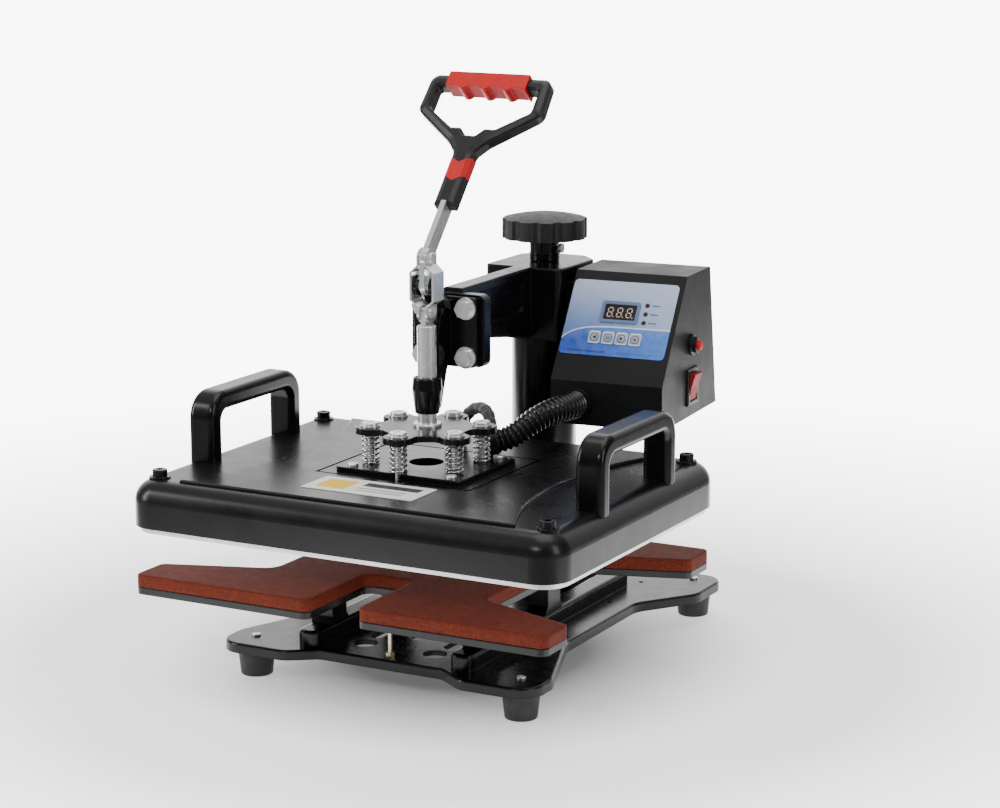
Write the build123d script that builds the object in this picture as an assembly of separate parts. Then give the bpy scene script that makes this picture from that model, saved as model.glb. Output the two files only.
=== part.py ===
"""Swing-away toggle heat press with a four-wing lower platen, as separate parts.

Frame, in millimetres: the origin is on the bench under the middle of the overall width and
depth, +X to the operator's right, +Y to the back, +Z up. The dimensions below are laid out
from the centre of the four feet, and write() moves each part from there into the frame.
Rest pose: platen raised, handle leaning back.
"""
from build123d import *
from math import atan2, cos, degrees, pi, radians, sin, sqrt, tan
import os

# ---------------------------------------------------------------- driving dimensions
FEET_Y = 31.0                          # centre of the feet, behind the frame's origin

# Base casting
FOOT_X, FOOT_Y = 121.9, 162.4          # foot screws, from the centre
BASE_TOP = 31.5
BASE_BOTTOM = 23.0
BASE_SKIN = 4.0
RAIL_X, RAIL_W, RAIL_H = 70.0, 20.0, 13.0
RAIL_FRONT, RAIL_BACK = -171.0, 122.0
FOOT_TOP_R, FOOT_BOTTOM_R = 15.5, 13.0

# Column, on which the arm rises and swings
COLUMN_Y = 112.0
COLUMN_R, COLUMN_BORE_R = 28.0, 24.0
COLUMN_TOP = 292.0
RUNNING_GAP = 0.05
BUSH_R = 30.0

# Platens
PLATEN_Y = -94.9
PLATEN_W, PLATEN_D = 380.0, 287.0      # heating plate, the 29 x 38 cm class
PLATE_BOTTOM, PLATE_TOP = 128.7, 146.0
COVER_W, COVER_D = 386.0, 295.0
COVER_BOTTOM, COVER_TOP = 133.2, 170.0
COVER_CORNER_R, COVER_EDGE_R = 24.0, 17.0
COVER_WALL = 2.0
PLATEAU_H = 2.4
CORNER_BOLT_X, CORNER_BOLT_Y = 173.6, 123.7
PAD_TOP, PAD_T, LOWER_PLATE_T = 95.0, 10.5, 5.5
POST_X, POST_YS = 70.0, (-132.0, -22.0)

# Pressure head
MOUNT_W, MOUNT_D, MOUNT_T = 114.0, 95.0, 4.0
MOUNT_BOTTOM = COVER_TOP + PLATEAU_H
STAR_BOTTOM, STAR_T = 201.0, 5.0
BOLT_CIRCLE_R = 44.7
BOLT_ANGLES = tuple(30 + 60 * i for i in range(6))
SPRING_R, SPRING_BORE_R = 7.4, 4.6
ROD_Y = -93.0
ROD_R = 7.8
PLUNGER_TRAVEL = 33.3

# Toggle: fixed pivot, lever pivot above it, rod pivot below
PIVOT_Z = 320.0
CRANK = 22.2
LINK_LENGTH = 43.7
LEVER_LEAN = 41.0                      # degrees back from upright, above the lever pivot
LEVER_T = 4.5
LINK_T = 2.0
FORK_IN, FORK_OUT, FORK_R = 5.6, 8.6, 8.0   # the fork's cheeks: half widths and round end

# Arm
ARM_TOP = 312.0
HEAD_BOTTOM = 250.0
HEAD_X, HEAD_FRONT, HEAD_BACK = 35.5, 70.0, 152.0
NECK_X = 8.5
FLANGE_X, FLANGE_FRONT, FLANGE_BACK = 33.5, -58.0, -48.0
BRACKET_FRONT = -64.0
CLAMP_BOLT_X, CLAMP_BOLT_Z, CLAMP_BOLT_HALF = 19.6, 278.4, 20.0

# Control box, in its own axes: x along its width, y to its back, turned about Z
BOX_AT, BOX_TURN = (43.0, 89.0), 4.8
BOX_W = 98.7
BOX_TOP, BOX_KNEE, BOX_BOTTOM = 310.5, 227.0, 189.6
BOX_FRONT, BOX_TOP_BACK, BOX_FOOT_BACK = -58.6, 57.6, 77.5
BOX_WALL = 1.5

# What the box carries: places on its panel are (x, distance down the slope)
PANEL_KEYS, KEY_DOWN = (30.0, 42.0, 54.0, 66.0), 61.5
LED_X, LED_DOWN = 70.0, (29.5, 37.5, 45.5)
BUTTON_AT = (12.0, 251.0)              # y and z on the right side, as is SWITCH_AT
SWITCH_AT = (14.0, 215.0)
TRUNNION_R = 1.2
INLET_Z = BOX_BOTTOM + 32
CONDUIT_AT = (24.5, 208.0)             # x and z on the front
GLAND_T = 3.0

# Side handles, and the lever's D-shaped handle
HANDLE_X = 176.0
HANDLE_LEGS = (-149.5, -29.5)
HANDLE_CHAMFER, LOOP_CHAMFER = 3.3, 2.2

# Conduit from the box to the cover, and the sleeve that goes on from its end
CONDUIT_R, SLEEVE_R = 10.5, 4.8
CONDUIT_ROUTE = [(66.5, -3.5, 207.5), (59, -17.5, 202.5), (50.5, -28.5, 194), (42.5, -35, 188.3),
                 (34, -40, 185.5)]
SLEEVE_ROUTE = [(28.5, -38.5, 197.5), (27.3, -37.3, 203.5), (21.5, -31.5, 208), (11, -22, 208.8),
                (-1.5, -14, 204.8), (-10.3, -11.5, 196.3), (-13.5, -11.9, 185.5), (-13.7, -12, 174)]
BOSS_TOP = 196.0

# Knob
KNOB_BOTTOM, KNOB_TOP, KNOB_R = 332.0, 353.5, 36.5
KNOB_RISE, KNOB_LOBES, KNOB_SOCKET = 5.0, 12, 15.0
COLLAR_R = 12.8
SCREW_R = 8.0
SET_SCREW_Z = 323.5


# ---------------------------------------------------------------- small helpers
def at(x=0.0, y=0.0, z=0.0):
    return Location((x, y, z))


def block(x0, x1, y0, y1, z0, z1):
    """A box between two corners."""
    return at((x0 + x1) / 2, (y0 + y1) / 2, (z0 + z1) / 2) * Box(x1 - x0, y1 - y0, z1 - z0)


def rod(x, y, z0, z1, r):
    """An upright cylinder."""
    return at(x, y, (z0 + z1) / 2) * Cylinder(r, z1 - z0)


def rod_x(x0, x1, y, z, r):
    """A cylinder along X."""
    return at((x0 + x1) / 2, y, z) * Rot(0, 90, 0) * Cylinder(r, x1 - x0)


def rod_y(x, y0, y1, z, r):
    """A cylinder along Y."""
    return at(x, (y0 + y1) / 2, z) * Rot(90, 0, 0) * Cylinder(r, y1 - y0)


def cone(x, y, z0, z1, r0, r1):
    """An upright truncated cone."""
    return at(x, y, (z0 + z1) / 2) * Cone(r0, r1, z1 - z0)


def hexagon(x, y, z0, z1, across):
    """An upright hexagonal prism, by its width across flats."""
    sketch = RegularPolygon(across / sqrt(3), 6)
    return at(x, y, z0) * extrude(sketch, z1 - z0)


def outline(points):
    """A closed face from (x, y) points, each with an optional corner radius."""
    face = make_face(Polyline(*[p[:2] for p in points], close=True))
    for p in points:
        if len(p) == 3:
            corner = face.vertices().sort_by_distance((p[0], p[1], 0))[0]
            face = fillet(corner, p[2])
    return face


def mirrored(points):
    """A right-hand outline that starts on x = 0's right, completed to the left."""
    left = [(-p[0],) + tuple(p[1:]) for p in reversed(points) if p[0] != 0]
    return list(points) + left


def prism(points, z0, z1):
    return at(0, 0, z0) * extrude(outline(points), z1 - z0)


def yz_prism(points, x0, x1):
    """A prism along X from an outline of (y, z) points."""
    return Plane.YZ.offset(x0) * extrude(outline(points), x1 - x0)


def xz_prism(points, y0, y1):
    """A prism along Y from an outline of (x, z) points."""
    flat = Plane((0, y0, 0), x_dir=(1, 0, 0), z_dir=(0, 1, 0))
    turned = [(p[0], -p[1]) + tuple(p[2:]) for p in points]
    return flat * extrude(outline(turned), y1 - y0)


def top_edges(part, z, tolerance=0.05):
    """Edges that lie flat at one height."""
    return part.edges().filter_by(lambda e: abs(e.bounding_box().min.Z - z) < tolerance
                                  and abs(e.bounding_box().max.Z - z) < tolerance)


def corners4(x, y, y_centre=0.0):
    return [(sx * x, y_centre + sy * y) for sx in (-1, 1) for sy in (-1, 1)]


def bolt_circle():
    """Centres of the six spring bolts."""
    return [(BOLT_CIRCLE_R * cos(radians(a)), PLATEN_Y + BOLT_CIRCLE_R * sin(radians(a)))
            for a in BOLT_ANGLES]


def in_box(shape):
    """Places a shape made in the control box's own axes."""
    return Location((BOX_AT[0], BOX_AT[1], 0), (0, 0, BOX_TURN)) * shape


def on_panel(x, down, lift=0.0):
    """A location on the box's sloped panel: x along its width, down the slope, +Z out."""
    run = sqrt(BOX_FRONT ** 2 + (BOX_TOP - BOX_KNEE) ** 2)
    back, fall = BOX_FRONT / run, (BOX_KNEE - BOX_TOP) / run
    origin = Vector(x, back * down, BOX_TOP + fall * down)
    normal = Vector(0, fall, -back)
    plane = Plane(origin + normal * lift, x_dir=(1, 0, 0), z_dir=normal)
    return Location((BOX_AT[0], BOX_AT[1], 0), (0, 0, BOX_TURN)) * Location(plane)


def on_lever(x, along, lift=0.0):
    """A location in the handle's plane: x sideways, y along the lever, +Z to its front."""
    lean = radians(LEVER_LEAN)
    axis = Vector(0, sin(lean), cos(lean))
    normal = Vector(0, -cos(lean), sin(lean))
    origin = Vector(0, ROD_Y, PIVOT_Z + CRANK) + axis * along + normal * lift + Vector(x, 0, 0)
    return Location(Plane(origin, x_dir=(1, 0, 0), z_dir=normal))


def write(name, part):
    """One STEP file of one node, moved into the part's frame; several solids make a compound."""
    pieces = part if isinstance(part, list) else [part]
    solids = [at(0, FEET_Y) * solid for piece in pieces for solid in piece.solids()]
    shape = solids[0] if len(solids) == 1 else Compound(children=solids)
    shape.label = name
    export_step(shape, f"parts/{name}.step")


# ---------------------------------------------------------------- base and column
BASE_OUTLINE = mirrored([
    (56, -171, 14), (80, -188, 18), (144, -188, 20), (144, -152, 20), (110, -60, 30),
    (110, 70, 24), (145, 120, 24), (145, 181, 20), (80, 181, 16), (48, 154, 16)])


def rail(side, inset, z0, z1):
    """A raised rail's block, or the pocket under it when inset."""
    half = RAIL_W / 2 - inset
    front, back = RAIL_FRONT + 2 + inset, RAIL_BACK - inset
    radius = half * 0.8
    x = side * RAIL_X
    return prism([(x - half, front, radius), (x + half, front, radius),
                  (x + half, back, radius), (x - half, back, radius)], z0, z1)


def base_frame():
    body = prism(BASE_OUTLINE, BASE_BOTTOM, BASE_TOP)
    body = fillet(top_edges(body, BASE_TOP), 2.0)
    for side in (-1, 1):
        ridge = rail(side, 0, BASE_BOTTOM + 2, BASE_TOP + RAIL_H)
        ridge = fillet(top_edges(ridge, BASE_TOP + RAIL_H), 3.0)
        body += ridge
    hollow = offset(outline(BASE_OUTLINE), -5.0, kind=Kind.INTERSECTION)
    hollow = at(0, 0, BASE_BOTTOM - 1) * extrude(hollow, BASE_TOP - BASE_SKIN - BASE_BOTTOM + 1)
    for x, y in corners4(FOOT_X, FOOT_Y):
        hollow -= rod(x, y, BASE_BOTTOM - 1, BASE_TOP, 14)
    hollow -= rod(0, COLUMN_Y, BASE_BOTTOM - 1, BASE_TOP, 52)
    for x in (-POST_X, POST_X):
        for y in POST_YS:
            hollow -= rod(x, y, BASE_BOTTOM - 1, BASE_TOP, 8)
    body -= hollow
    for side in (-1, 1):
        under = rail(side, 4.5, BASE_BOTTOM - 1, BASE_TOP + RAIL_H - BASE_SKIN)
        for y in POST_YS:
            under -= rod(side * POST_X, y, BASE_BOTTOM - 1, BASE_TOP + RAIL_H, 8)
        body -= under
    floor = (BASE_BOTTOM - 2, BASE_TOP + 1)
    for x, y in corners4(FOOT_X, FOOT_Y):
        body -= rod(x, y, *floor, 2.6)
    for x, y in ((-32, -139), (32, -139), (0, -101)):
        body -= rod(x, y, *floor, 10 if x else 11)
    for side in (-1, 1):
        body -= at(side * 34, -108, BASE_BOTTOM - 2) * extrude(SlotOverall(30, 11, rotation=90), 12)
        for x, y in ((44, 123), (86, 131), (89, 61), (45, 146), (94, -128), (97, -112)):
            body -= rod(side * x, y, *floor, 2.2)
        for y in POST_YS:
            body -= rod(side * POST_X, y, BASE_BOTTOM - 2, BASE_TOP + RAIL_H + 1, 3.1)
    body -= rod(3, -151, *floor, 3.0)
    for x, y in corners4(32, 32, COLUMN_Y):
        body -= rod(x, y, *floor, 4.1)
    return body


def rubber_feet():
    feet = []
    for x, y in corners4(FOOT_X, FOOT_Y):
        foot = cone(x, y, 0, BASE_BOTTOM, FOOT_BOTTOM_R, FOOT_TOP_R)
        foot = fillet(top_edges(foot, 0), 1.5)
        feet.append(foot - rod(x, y, 12, BASE_BOTTOM + 1, 2.6))
    return feet


def foot_screws():
    screws = []
    for x, y in corners4(FOOT_X, FOOT_Y):
        head = fillet(top_edges(rod(x, y, BASE_TOP, BASE_TOP + 1.8, 3.6), BASE_TOP + 1.8), 0.9)
        head -= block(x - 2.3, x + 2.3, y - 0.45, y + 0.45, BASE_TOP + 1.1, BASE_TOP + 4)
        head -= block(x - 0.45, x + 0.45, y - 2.3, y + 2.3, BASE_TOP + 1.1, BASE_TOP + 4)
        screws.append(head + rod(x, y, 13, BASE_TOP + 0.5, 2.5))
    return screws


def column():
    """Welded post: flange plate, tube and a threaded plug in its top."""
    foot = prism([(-44, COLUMN_Y - 44, 10), (44, COLUMN_Y - 44, 10),
                  (44, COLUMN_Y + 44, 10), (-44, COLUMN_Y + 44, 10)], BASE_TOP, BASE_TOP + 7)
    foot = fillet(top_edges(foot, BASE_TOP + 7), 1.2)
    tube = rod(0, COLUMN_Y, BASE_TOP + 6, COLUMN_TOP, COLUMN_R)
    tube = chamfer(top_edges(tube, COLUMN_TOP), 1.0)
    weld = cone(0, COLUMN_Y, BASE_TOP + 7, BASE_TOP + 11, COLUMN_R + 4, COLUMN_R)
    body = foot + tube + weld
    body -= rod(0, COLUMN_Y, BASE_TOP - 1, COLUMN_TOP - 24, COLUMN_BORE_R)
    body -= rod(0, COLUMN_Y, COLUMN_TOP - 30, COLUMN_TOP + 1, SCREW_R + RUNNING_GAP)
    for x, y in corners4(32, 32, COLUMN_Y):
        body -= rod(x, y, BASE_TOP - 1, BASE_TOP + 9, 4.1)
    return body


def column_bolts():
    bolts = []
    z = BASE_TOP + 7
    for x, y in corners4(32, 32, COLUMN_Y):
        bolt = rod(x, y, z, z + 1.6, 8) + hexagon(x, y, z + 1.6, z + 7, 13)
        bolts.append(bolt + rod(x, y, BASE_BOTTOM, z + 1, 4.0))
    return bolts


# ---------------------------------------------------------------- lower platen
PAD_OUTLINE = mirrored([
    (22, -154, 9), (22, -243, 7), (184, -243, 7), (184, -205, 6), (96, -174, 14),
    (96, -26, 14), (189, 4, 6), (189, 44, 7), (22, 44, 7), (22, -46, 9)])
PLATE_BELOW_PAD = PAD_TOP - PAD_T


def silicone_pad():
    pad = prism(PAD_OUTLINE, PLATE_BELOW_PAD, PAD_TOP)
    return fillet(top_edges(pad, PAD_TOP), 1.0)


def lower_plate():
    plate = prism(PAD_OUTLINE, PLATE_BELOW_PAD - LOWER_PLATE_T, PLATE_BELOW_PAD)
    for x in (-POST_X, POST_X):
        for y in POST_YS:
            plate -= rod(x, y, PLATE_BELOW_PAD - 8, PLATE_BELOW_PAD + 1, 3.1)
    return plate


def platen_posts():
    """Four flared posts between the rails and the lower plate."""
    posts = []
    z0, z1 = BASE_TOP + RAIL_H, PLATE_BELOW_PAD - LOWER_PLATE_T
    for x in (-POST_X, POST_X):
        for y in POST_YS:
            post = yz_prism([(y - 15, z0), (y + 15, z0), (y + 11, z0 + 6), (y + 11, z1),
                             (y - 11, z1), (y - 11, z0 + 6)], x - 9, x + 9)
            posts.append(post - rod(x, y, z0 - 1, z1 + 1, 3.1))
    return posts


def post_studs():
    """Through studs that hold plate, posts and base together."""
    studs = []
    for x in (-POST_X, POST_X):
        for y in POST_YS:
            stud = rod(x, y, BASE_BOTTOM - 5, PLATE_BELOW_PAD - 0.2, 3.0)
            studs.append(stud + hexagon(x, y, BASE_BOTTOM - 5, BASE_BOTTOM, 10))
    return studs


def guide_stud():
    z1 = PLATE_BELOW_PAD - LOWER_PLATE_T
    stud = rod(3, -160, BASE_TOP, z1, 1.9)
    return stud + hexagon(3, -160, BASE_TOP, BASE_TOP + 3, 7) + hexagon(3, -160, z1 - 3, z1, 7)


# ---------------------------------------------------------------- upper platen
def cover_blank(inset, z0, z1, corner, edge):
    half_w, half_d = COVER_W / 2 - inset, COVER_D / 2 - inset
    blank = prism([(-half_w, PLATEN_Y - half_d, corner), (half_w, PLATEN_Y - half_d, corner),
                   (half_w, PLATEN_Y + half_d, corner), (-half_w, PLATEN_Y + half_d, corner)],
                  z0, z1)
    return fillet(top_edges(blank, z1), edge)


def plateau():
    """The cover's raised middle, waisted at the side handles."""
    front, back = PLATEN_Y - 131, PLATEN_Y + 131
    half = 150.0
    waist = 119.0
    edge = [Line((-half, front), (half, front)),
            ThreePointArc((half, front), (waist, PLATEN_Y), (half, back)),
            Line((half, back), (-half, back)),
            ThreePointArc((-half, back), (-waist, PLATEN_Y), (-half, front))]
    raised = at(0, 0, COVER_TOP - 3) * extrude(make_face(edge), PLATEAU_H + 3)
    return fillet(top_edges(raised, MOUNT_BOTTOM), 1.6)


def platen_cover():
    body = cover_blank(0, COVER_BOTTOM, COVER_TOP, COVER_CORNER_R, COVER_EDGE_R) + plateau()
    inside = cover_blank(COVER_WALL, COVER_BOTTOM - 1, COVER_TOP - COVER_WALL,
                         COVER_CORNER_R - COVER_WALL, COVER_EDGE_R - COVER_WALL)
    body -= inside
    for x, y in corners4(CORNER_BOLT_X, CORNER_BOLT_Y, PLATEN_Y):
        body += rod(x, y, COVER_TOP - 8, COVER_TOP, 9)
        body -= rod(x, y, COVER_TOP - 9, COVER_TOP + 3, 3.1)
    for x, y in corners4(MOUNT_W / 2 - 12, MOUNT_D / 2 - 8, PLATEN_Y):
        body -= rod(x, y, COVER_TOP - 9, COVER_TOP + 5, 2.6)
    body -= rod(0, PLATEN_Y, COVER_TOP - 9, COVER_TOP + 5, 14)
    body -= rod(-16.2, -12.1, COVER_TOP - 9, COVER_TOP + 5, 5.5)
    for side in (-1, 1):
        for y in HANDLE_LEGS:
            body -= rod(side * HANDLE_X, y, COVER_TOP - 9, COVER_TOP + 5, 3.1)
    frame = prism([(-71, -151), (71, -151), (71, -30), (-71, -30)], MOUNT_BOTTOM - 0.9, MOUNT_BOTTOM + 1)
    frame -= prism([(-68.6, -148.6), (68.6, -148.6), (68.6, -32.4), (-68.6, -32.4)], 160, 180)
    return body - frame


def heating_plate():
    half_w, half_d = PLATEN_W / 2, PLATEN_D / 2
    plate = block(-half_w, half_w, PLATEN_Y - half_d, PLATEN_Y + half_d, PLATE_BOTTOM, PLATE_TOP)
    plate = fillet(plate.edges().filter_by(Axis.Z), COVER_CORNER_R - 3.0)
    plate -= element_groove()
    for x, y in corners4(CORNER_BOLT_X, CORNER_BOLT_Y, PLATEN_Y):
        plate -= rod(x, y, PLATE_TOP - 8, PLATE_TOP + 1, 3.0)
    return plate


def element_line():
    """The heating element's serpentine route in plan."""
    x, y = 150.0, 95.0
    points = [(-20, y), (-x, y), (-x, -y), (-x / 2, -y), (-x / 2, y * 0.4), (0, y * 0.4),
              (0, -y), (x / 2, -y), (x / 2, y * 0.4), (x, y * 0.4), (x, y), (20, y)]
    return FilletPolyline(*[(px, PLATEN_Y + py, PLATE_TOP - 4.2) for px, py in points], radius=18)


def element_groove():
    route = element_line()
    start = Plane(route @ 0, z_dir=route % 0)
    channel = sweep(start * Circle(4.2), path=route)
    slot = at(0, 0, 4.2) * sweep(start * Rectangle(8.4, 8.4), path=route)
    return channel + slot


def heating_element():
    route = element_line()
    start = Plane(route @ 0, z_dir=route % 0)
    tube = sweep(start * Circle(4.0), path=route)
    for x in (-24, 24):
        tube += rod(x, PLATEN_Y + 95, PLATE_TOP - 4.2, PLATE_TOP + 7, 2.5)
    return tube


def insulation_sheet():
    half_w, half_d = PLATEN_W / 2 - 16, PLATEN_D / 2 - 16
    sheet = block(-half_w, half_w, PLATEN_Y - half_d, PLATEN_Y + half_d, PLATE_TOP, PLATE_TOP + 12)
    for x, y in corners4(CORNER_BOLT_X, CORNER_BOLT_Y, PLATEN_Y):
        sheet -= rod(x, y, PLATE_TOP - 1, PLATE_TOP + 13, 12)
    for x, y in corners4(MOUNT_W / 2 - 12, MOUNT_D / 2 - 8, PLATEN_Y):
        sheet -= rod(x, y, PLATE_TOP - 1, PLATE_TOP + 13, 7)
    for x in (-24, 24):
        sheet -= rod(x, PLATEN_Y + 95, PLATE_TOP - 1, PLATE_TOP + 13, 5)
    return sheet - rod(0, PLATEN_Y, PLATE_TOP + 6, PLATE_TOP + 13, 16)


def cover_bolts():
    """Socket-head bolts at the cover's corners, each with its washer."""
    bolts = []
    for x, y in corners4(CORNER_BOLT_X, CORNER_BOLT_Y, PLATEN_Y):
        head = rod(x, y, COVER_TOP, COVER_TOP + 1.2, 8.5) + rod(x, y, COVER_TOP + 1, COVER_TOP + 7, 6.0)
        head = fillet(top_edges(head, COVER_TOP + 7), 1.0)
        head -= hexagon(x, y, COVER_TOP + 3, COVER_TOP + 8, 5)
        bolts.append(head + rod(x, y, PLATE_TOP - 8, COVER_TOP, 3.0))
    return bolts


def mount_plate():
    half_w, half_d = MOUNT_W / 2, MOUNT_D / 2
    plate = prism([(-half_w, PLATEN_Y - half_d, 3), (half_w, PLATEN_Y - half_d, 3),
                   (half_w, PLATEN_Y + half_d, 3), (-half_w, PLATEN_Y + half_d, 3)],
                  MOUNT_BOTTOM, MOUNT_BOTTOM + MOUNT_T)
    plate = chamfer(top_edges(plate, MOUNT_BOTTOM + MOUNT_T), 0.4)
    plate -= rod(0, PLATEN_Y, MOUNT_BOTTOM - 1, MOUNT_BOTTOM + 9, 14)
    for x, y in bolt_circle():
        plate -= rod(x, y, MOUNT_BOTTOM - 1, MOUNT_BOTTOM + 9, 3.0)
    for x, y in corners4(half_w - 12, half_d - 8, PLATEN_Y):
        plate -= rod(x, y, MOUNT_BOTTOM - 1, MOUNT_BOTTOM + 9, 2.6)
    return plate


def mount_screws():
    """Pan-head screws with spacer tubes down to the heating plate."""
    screws = []
    z = MOUNT_BOTTOM + MOUNT_T
    for x, y in corners4(MOUNT_W / 2 - 12, MOUNT_D / 2 - 8, PLATEN_Y):
        head = fillet(top_edges(rod(x, y, z, z + 2.4, 4.4), z + 2.4), 1.2)
        head -= block(x - 3, x + 3, y - 0.5, y + 0.5, z + 1.4, z + 4)
        head -= block(x - 0.5, x + 0.5, y - 3, y + 3, z + 1.4, z + 4)
        shank = rod(x, y, COVER_TOP - COVER_WALL, z + 0.5, 2.5)
        screws.append(head + shank + rod(x, y, PLATE_TOP, COVER_TOP - COVER_WALL, 6))
    return screws


def spring_bolts():
    """Six shoulder bolts that hang the platen from the pressure plate."""
    bolts = []
    top = STAR_BOTTOM + STAR_T
    for x, y in bolt_circle():
        head = rod(x, y, top, top + 1.2, 7.9) + rod(x, y, top + 1, top + 3.8, 7.1)
        head = fillet(top_edges(head, top + 3.8), 1.2)
        for dx, dy in ((4.2, 0.8), (0.8, 4.2)):
            head -= block(x - dx, x + dx, y - dy, y + dy, top + 2.8, top + 5)
        bolts.append(head + rod(x, y, MOUNT_BOTTOM, top + 0.5, 3.0))
    return bolts


def side_handle(side):
    """A broad U-shaped grab handle."""
    front, back = HANDLE_LEGS[0] - 8, HANDLE_LEGS[1] + 8
    foot, top, thick = COVER_TOP - 6, 226.5, 16
    shape = yz_prism([(front, foot), (back, foot), (back, top, 22), (front, top, 22)], -12, 12)
    shape -= yz_prism([(front + thick, foot - 1), (back - thick, foot - 1),
                       (back - thick, top - thick, 9), (front + thick, top - thick, 9)], -13, 13)
    long_edges = shape.edges().filter_by(lambda e: abs(abs(e.center().X) - 12) < 0.1
                                         and e.bounding_box().max.Z > foot + 1)
    shape = fillet(long_edges, 5.0)
    shape = at(side * HANDLE_X, 0, 0) * shape - cover_blank(0, COVER_BOTTOM, COVER_TOP,
                                                            COVER_CORNER_R, COVER_EDGE_R)
    for y in HANDLE_LEGS:
        shape -= rod(side * HANDLE_X, y, foot - 1, foot + 22, 3.0)
    return shape


def handle_screws():
    screws = []
    for side in (-1, 1):
        for y in HANDLE_LEGS:
            x = side * HANDLE_X
            z = COVER_TOP - COVER_WALL - 1.2
            screws.append(rod(x, y, z - 4, z, 5) + rod(x, y, z - 1, COVER_TOP + 14, 3.0))
    return screws


def rating_plate():
    """A blank-faced information plate stuck in front of the mount plate."""
    plate = prism([(-53, -201, 2), (47, -201, 2), (47, -160, 2), (-53, -160, 2)],
                  MOUNT_BOTTOM, MOUNT_BOTTOM + 0.5)
    return plate


# ---------------------------------------------------------------- springs and plunger
def pressure_springs():
    """Six compression springs, each as the closed tube that its coils fill."""
    z0, z1 = MOUNT_BOTTOM + MOUNT_T, STAR_BOTTOM
    return [rod(x, y, z0, z1, SPRING_R) - rod(x, y, z0 - 1, z1 + 1, SPRING_BORE_R)
            for x, y in bolt_circle()]


def pressure_plate():
    """Six-lobed plate: a lobe at each spring bolt, hollowed between them."""
    star = Circle(38.0)
    for x, y in bolt_circle():
        star += Location((x, y - PLATEN_Y)) * Circle(12.5)
    star = fillet(star.vertices(), 8.0)
    plate = at(0, PLATEN_Y, STAR_BOTTOM) * extrude(star, STAR_T)
    plate = chamfer(top_edges(plate, STAR_BOTTOM + STAR_T), 0.5)
    for x, y in bolt_circle():
        plate -= rod(x, y, STAR_BOTTOM - 1, STAR_BOTTOM + STAR_T + 1, 3.3)
    return plate - rod(0, ROD_Y, STAR_BOTTOM - 1, STAR_BOTTOM + STAR_T + 1, 6.0)


def plunger_rod():
    """Round rod with a flat tongue on top and a spigot riveted into the pressure plate."""
    shoulder, tongue_top = 288.0, PIVOT_Z + CRANK - LINK_LENGTH + 6.0
    body = rod(0, ROD_Y, STAR_BOTTOM + STAR_T, shoulder, ROD_R)
    body = chamfer(top_edges(body, shoulder), 0.8)
    tongue = yz_prism([(ROD_Y - 6.2, shoulder - 1), (ROD_Y + 6.2, shoulder - 1),
                       (ROD_Y + 6.2, tongue_top, 5.5), (ROD_Y - 6.2, tongue_top, 5.5)],
                      -LEVER_T / 2, LEVER_T / 2)
    body += tongue
    body += rod(0, ROD_Y, STAR_BOTTOM - 1.5, STAR_BOTTOM + STAR_T + 1, 6.0)
    return body - rod_x(-5, 5, ROD_Y, PIVOT_Z + CRANK - LINK_LENGTH, 3.3)


def rod_collar():
    """Plated ring welded round the rod's foot."""
    top = STAR_BOTTOM + STAR_T
    ring = chamfer(top_edges(rod(0, ROD_Y, top, top + 2.6, 11.6), top + 2.6), 0.7)
    return ring - rod(0, ROD_Y, top - 1, top + 4, ROD_R)


# ---------------------------------------------------------------- arm and toggle bracket
def swing_arm():
    """Cast arm: a head bored for the column, a recessed neck and a bolting flange."""
    head = prism([(-HEAD_X, HEAD_FRONT, 5), (HEAD_X, HEAD_FRONT, 5), (HEAD_X, HEAD_BACK - 16, 5),
                  (HEAD_X - 16, HEAD_BACK, 5), (-HEAD_X + 16, HEAD_BACK, 5),
                  (-HEAD_X, HEAD_BACK - 16, 5)], HEAD_BOTTOM, ARM_TOP)
    neck = yz_prism([(FLANGE_BACK - 2, 271), (HEAD_FRONT + 2, 252), (HEAD_FRONT + 2, ARM_TOP),
                     (FLANGE_BACK - 2, ARM_TOP)], -NECK_X, NECK_X)
    flange = xz_prism([(-FLANGE_X, 250, 6), (FLANGE_X, 250, 6), (FLANGE_X, 309, 6),
                       (-FLANGE_X, 309, 6)], FLANGE_FRONT, FLANGE_BACK)
    body = head + neck + flange
    for side in (-1, 1):
        web = prism([(side * 7, FLANGE_BACK - 2), (side * 11.8, FLANGE_BACK - 2),
                     (side * 7, FLANGE_BACK + 14)], 268, 309)
        body += web
        pocket = yz_prism([(-28, 277, 4), (57, 276, 5), (57, 304, 5), (-28, 304, 4)],
                          side * (NECK_X - 2.5), side * (NECK_X + 3))
        body -= pocket
    body = fillet(top_edges(body, ARM_TOP), 1.4)
    body -= rod(0, COLUMN_Y, HEAD_BOTTOM - 1, 302, BUSH_R + RUNNING_GAP)
    body -= rod(0, COLUMN_Y, 300, ARM_TOP + 1, SCREW_R + 0.6)
    for x, z in clamp_bolt_spots():
        body -= rod_y(x, FLANGE_FRONT - 1, FLANGE_BACK + 1, z, 3.6)
    return body


def clamp_bolt_spots():
    return [(sx * CLAMP_BOLT_X, CLAMP_BOLT_Z + sz * CLAMP_BOLT_HALF)
            for sx in (-1, 1) for sz in (-1, 1)]


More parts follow.
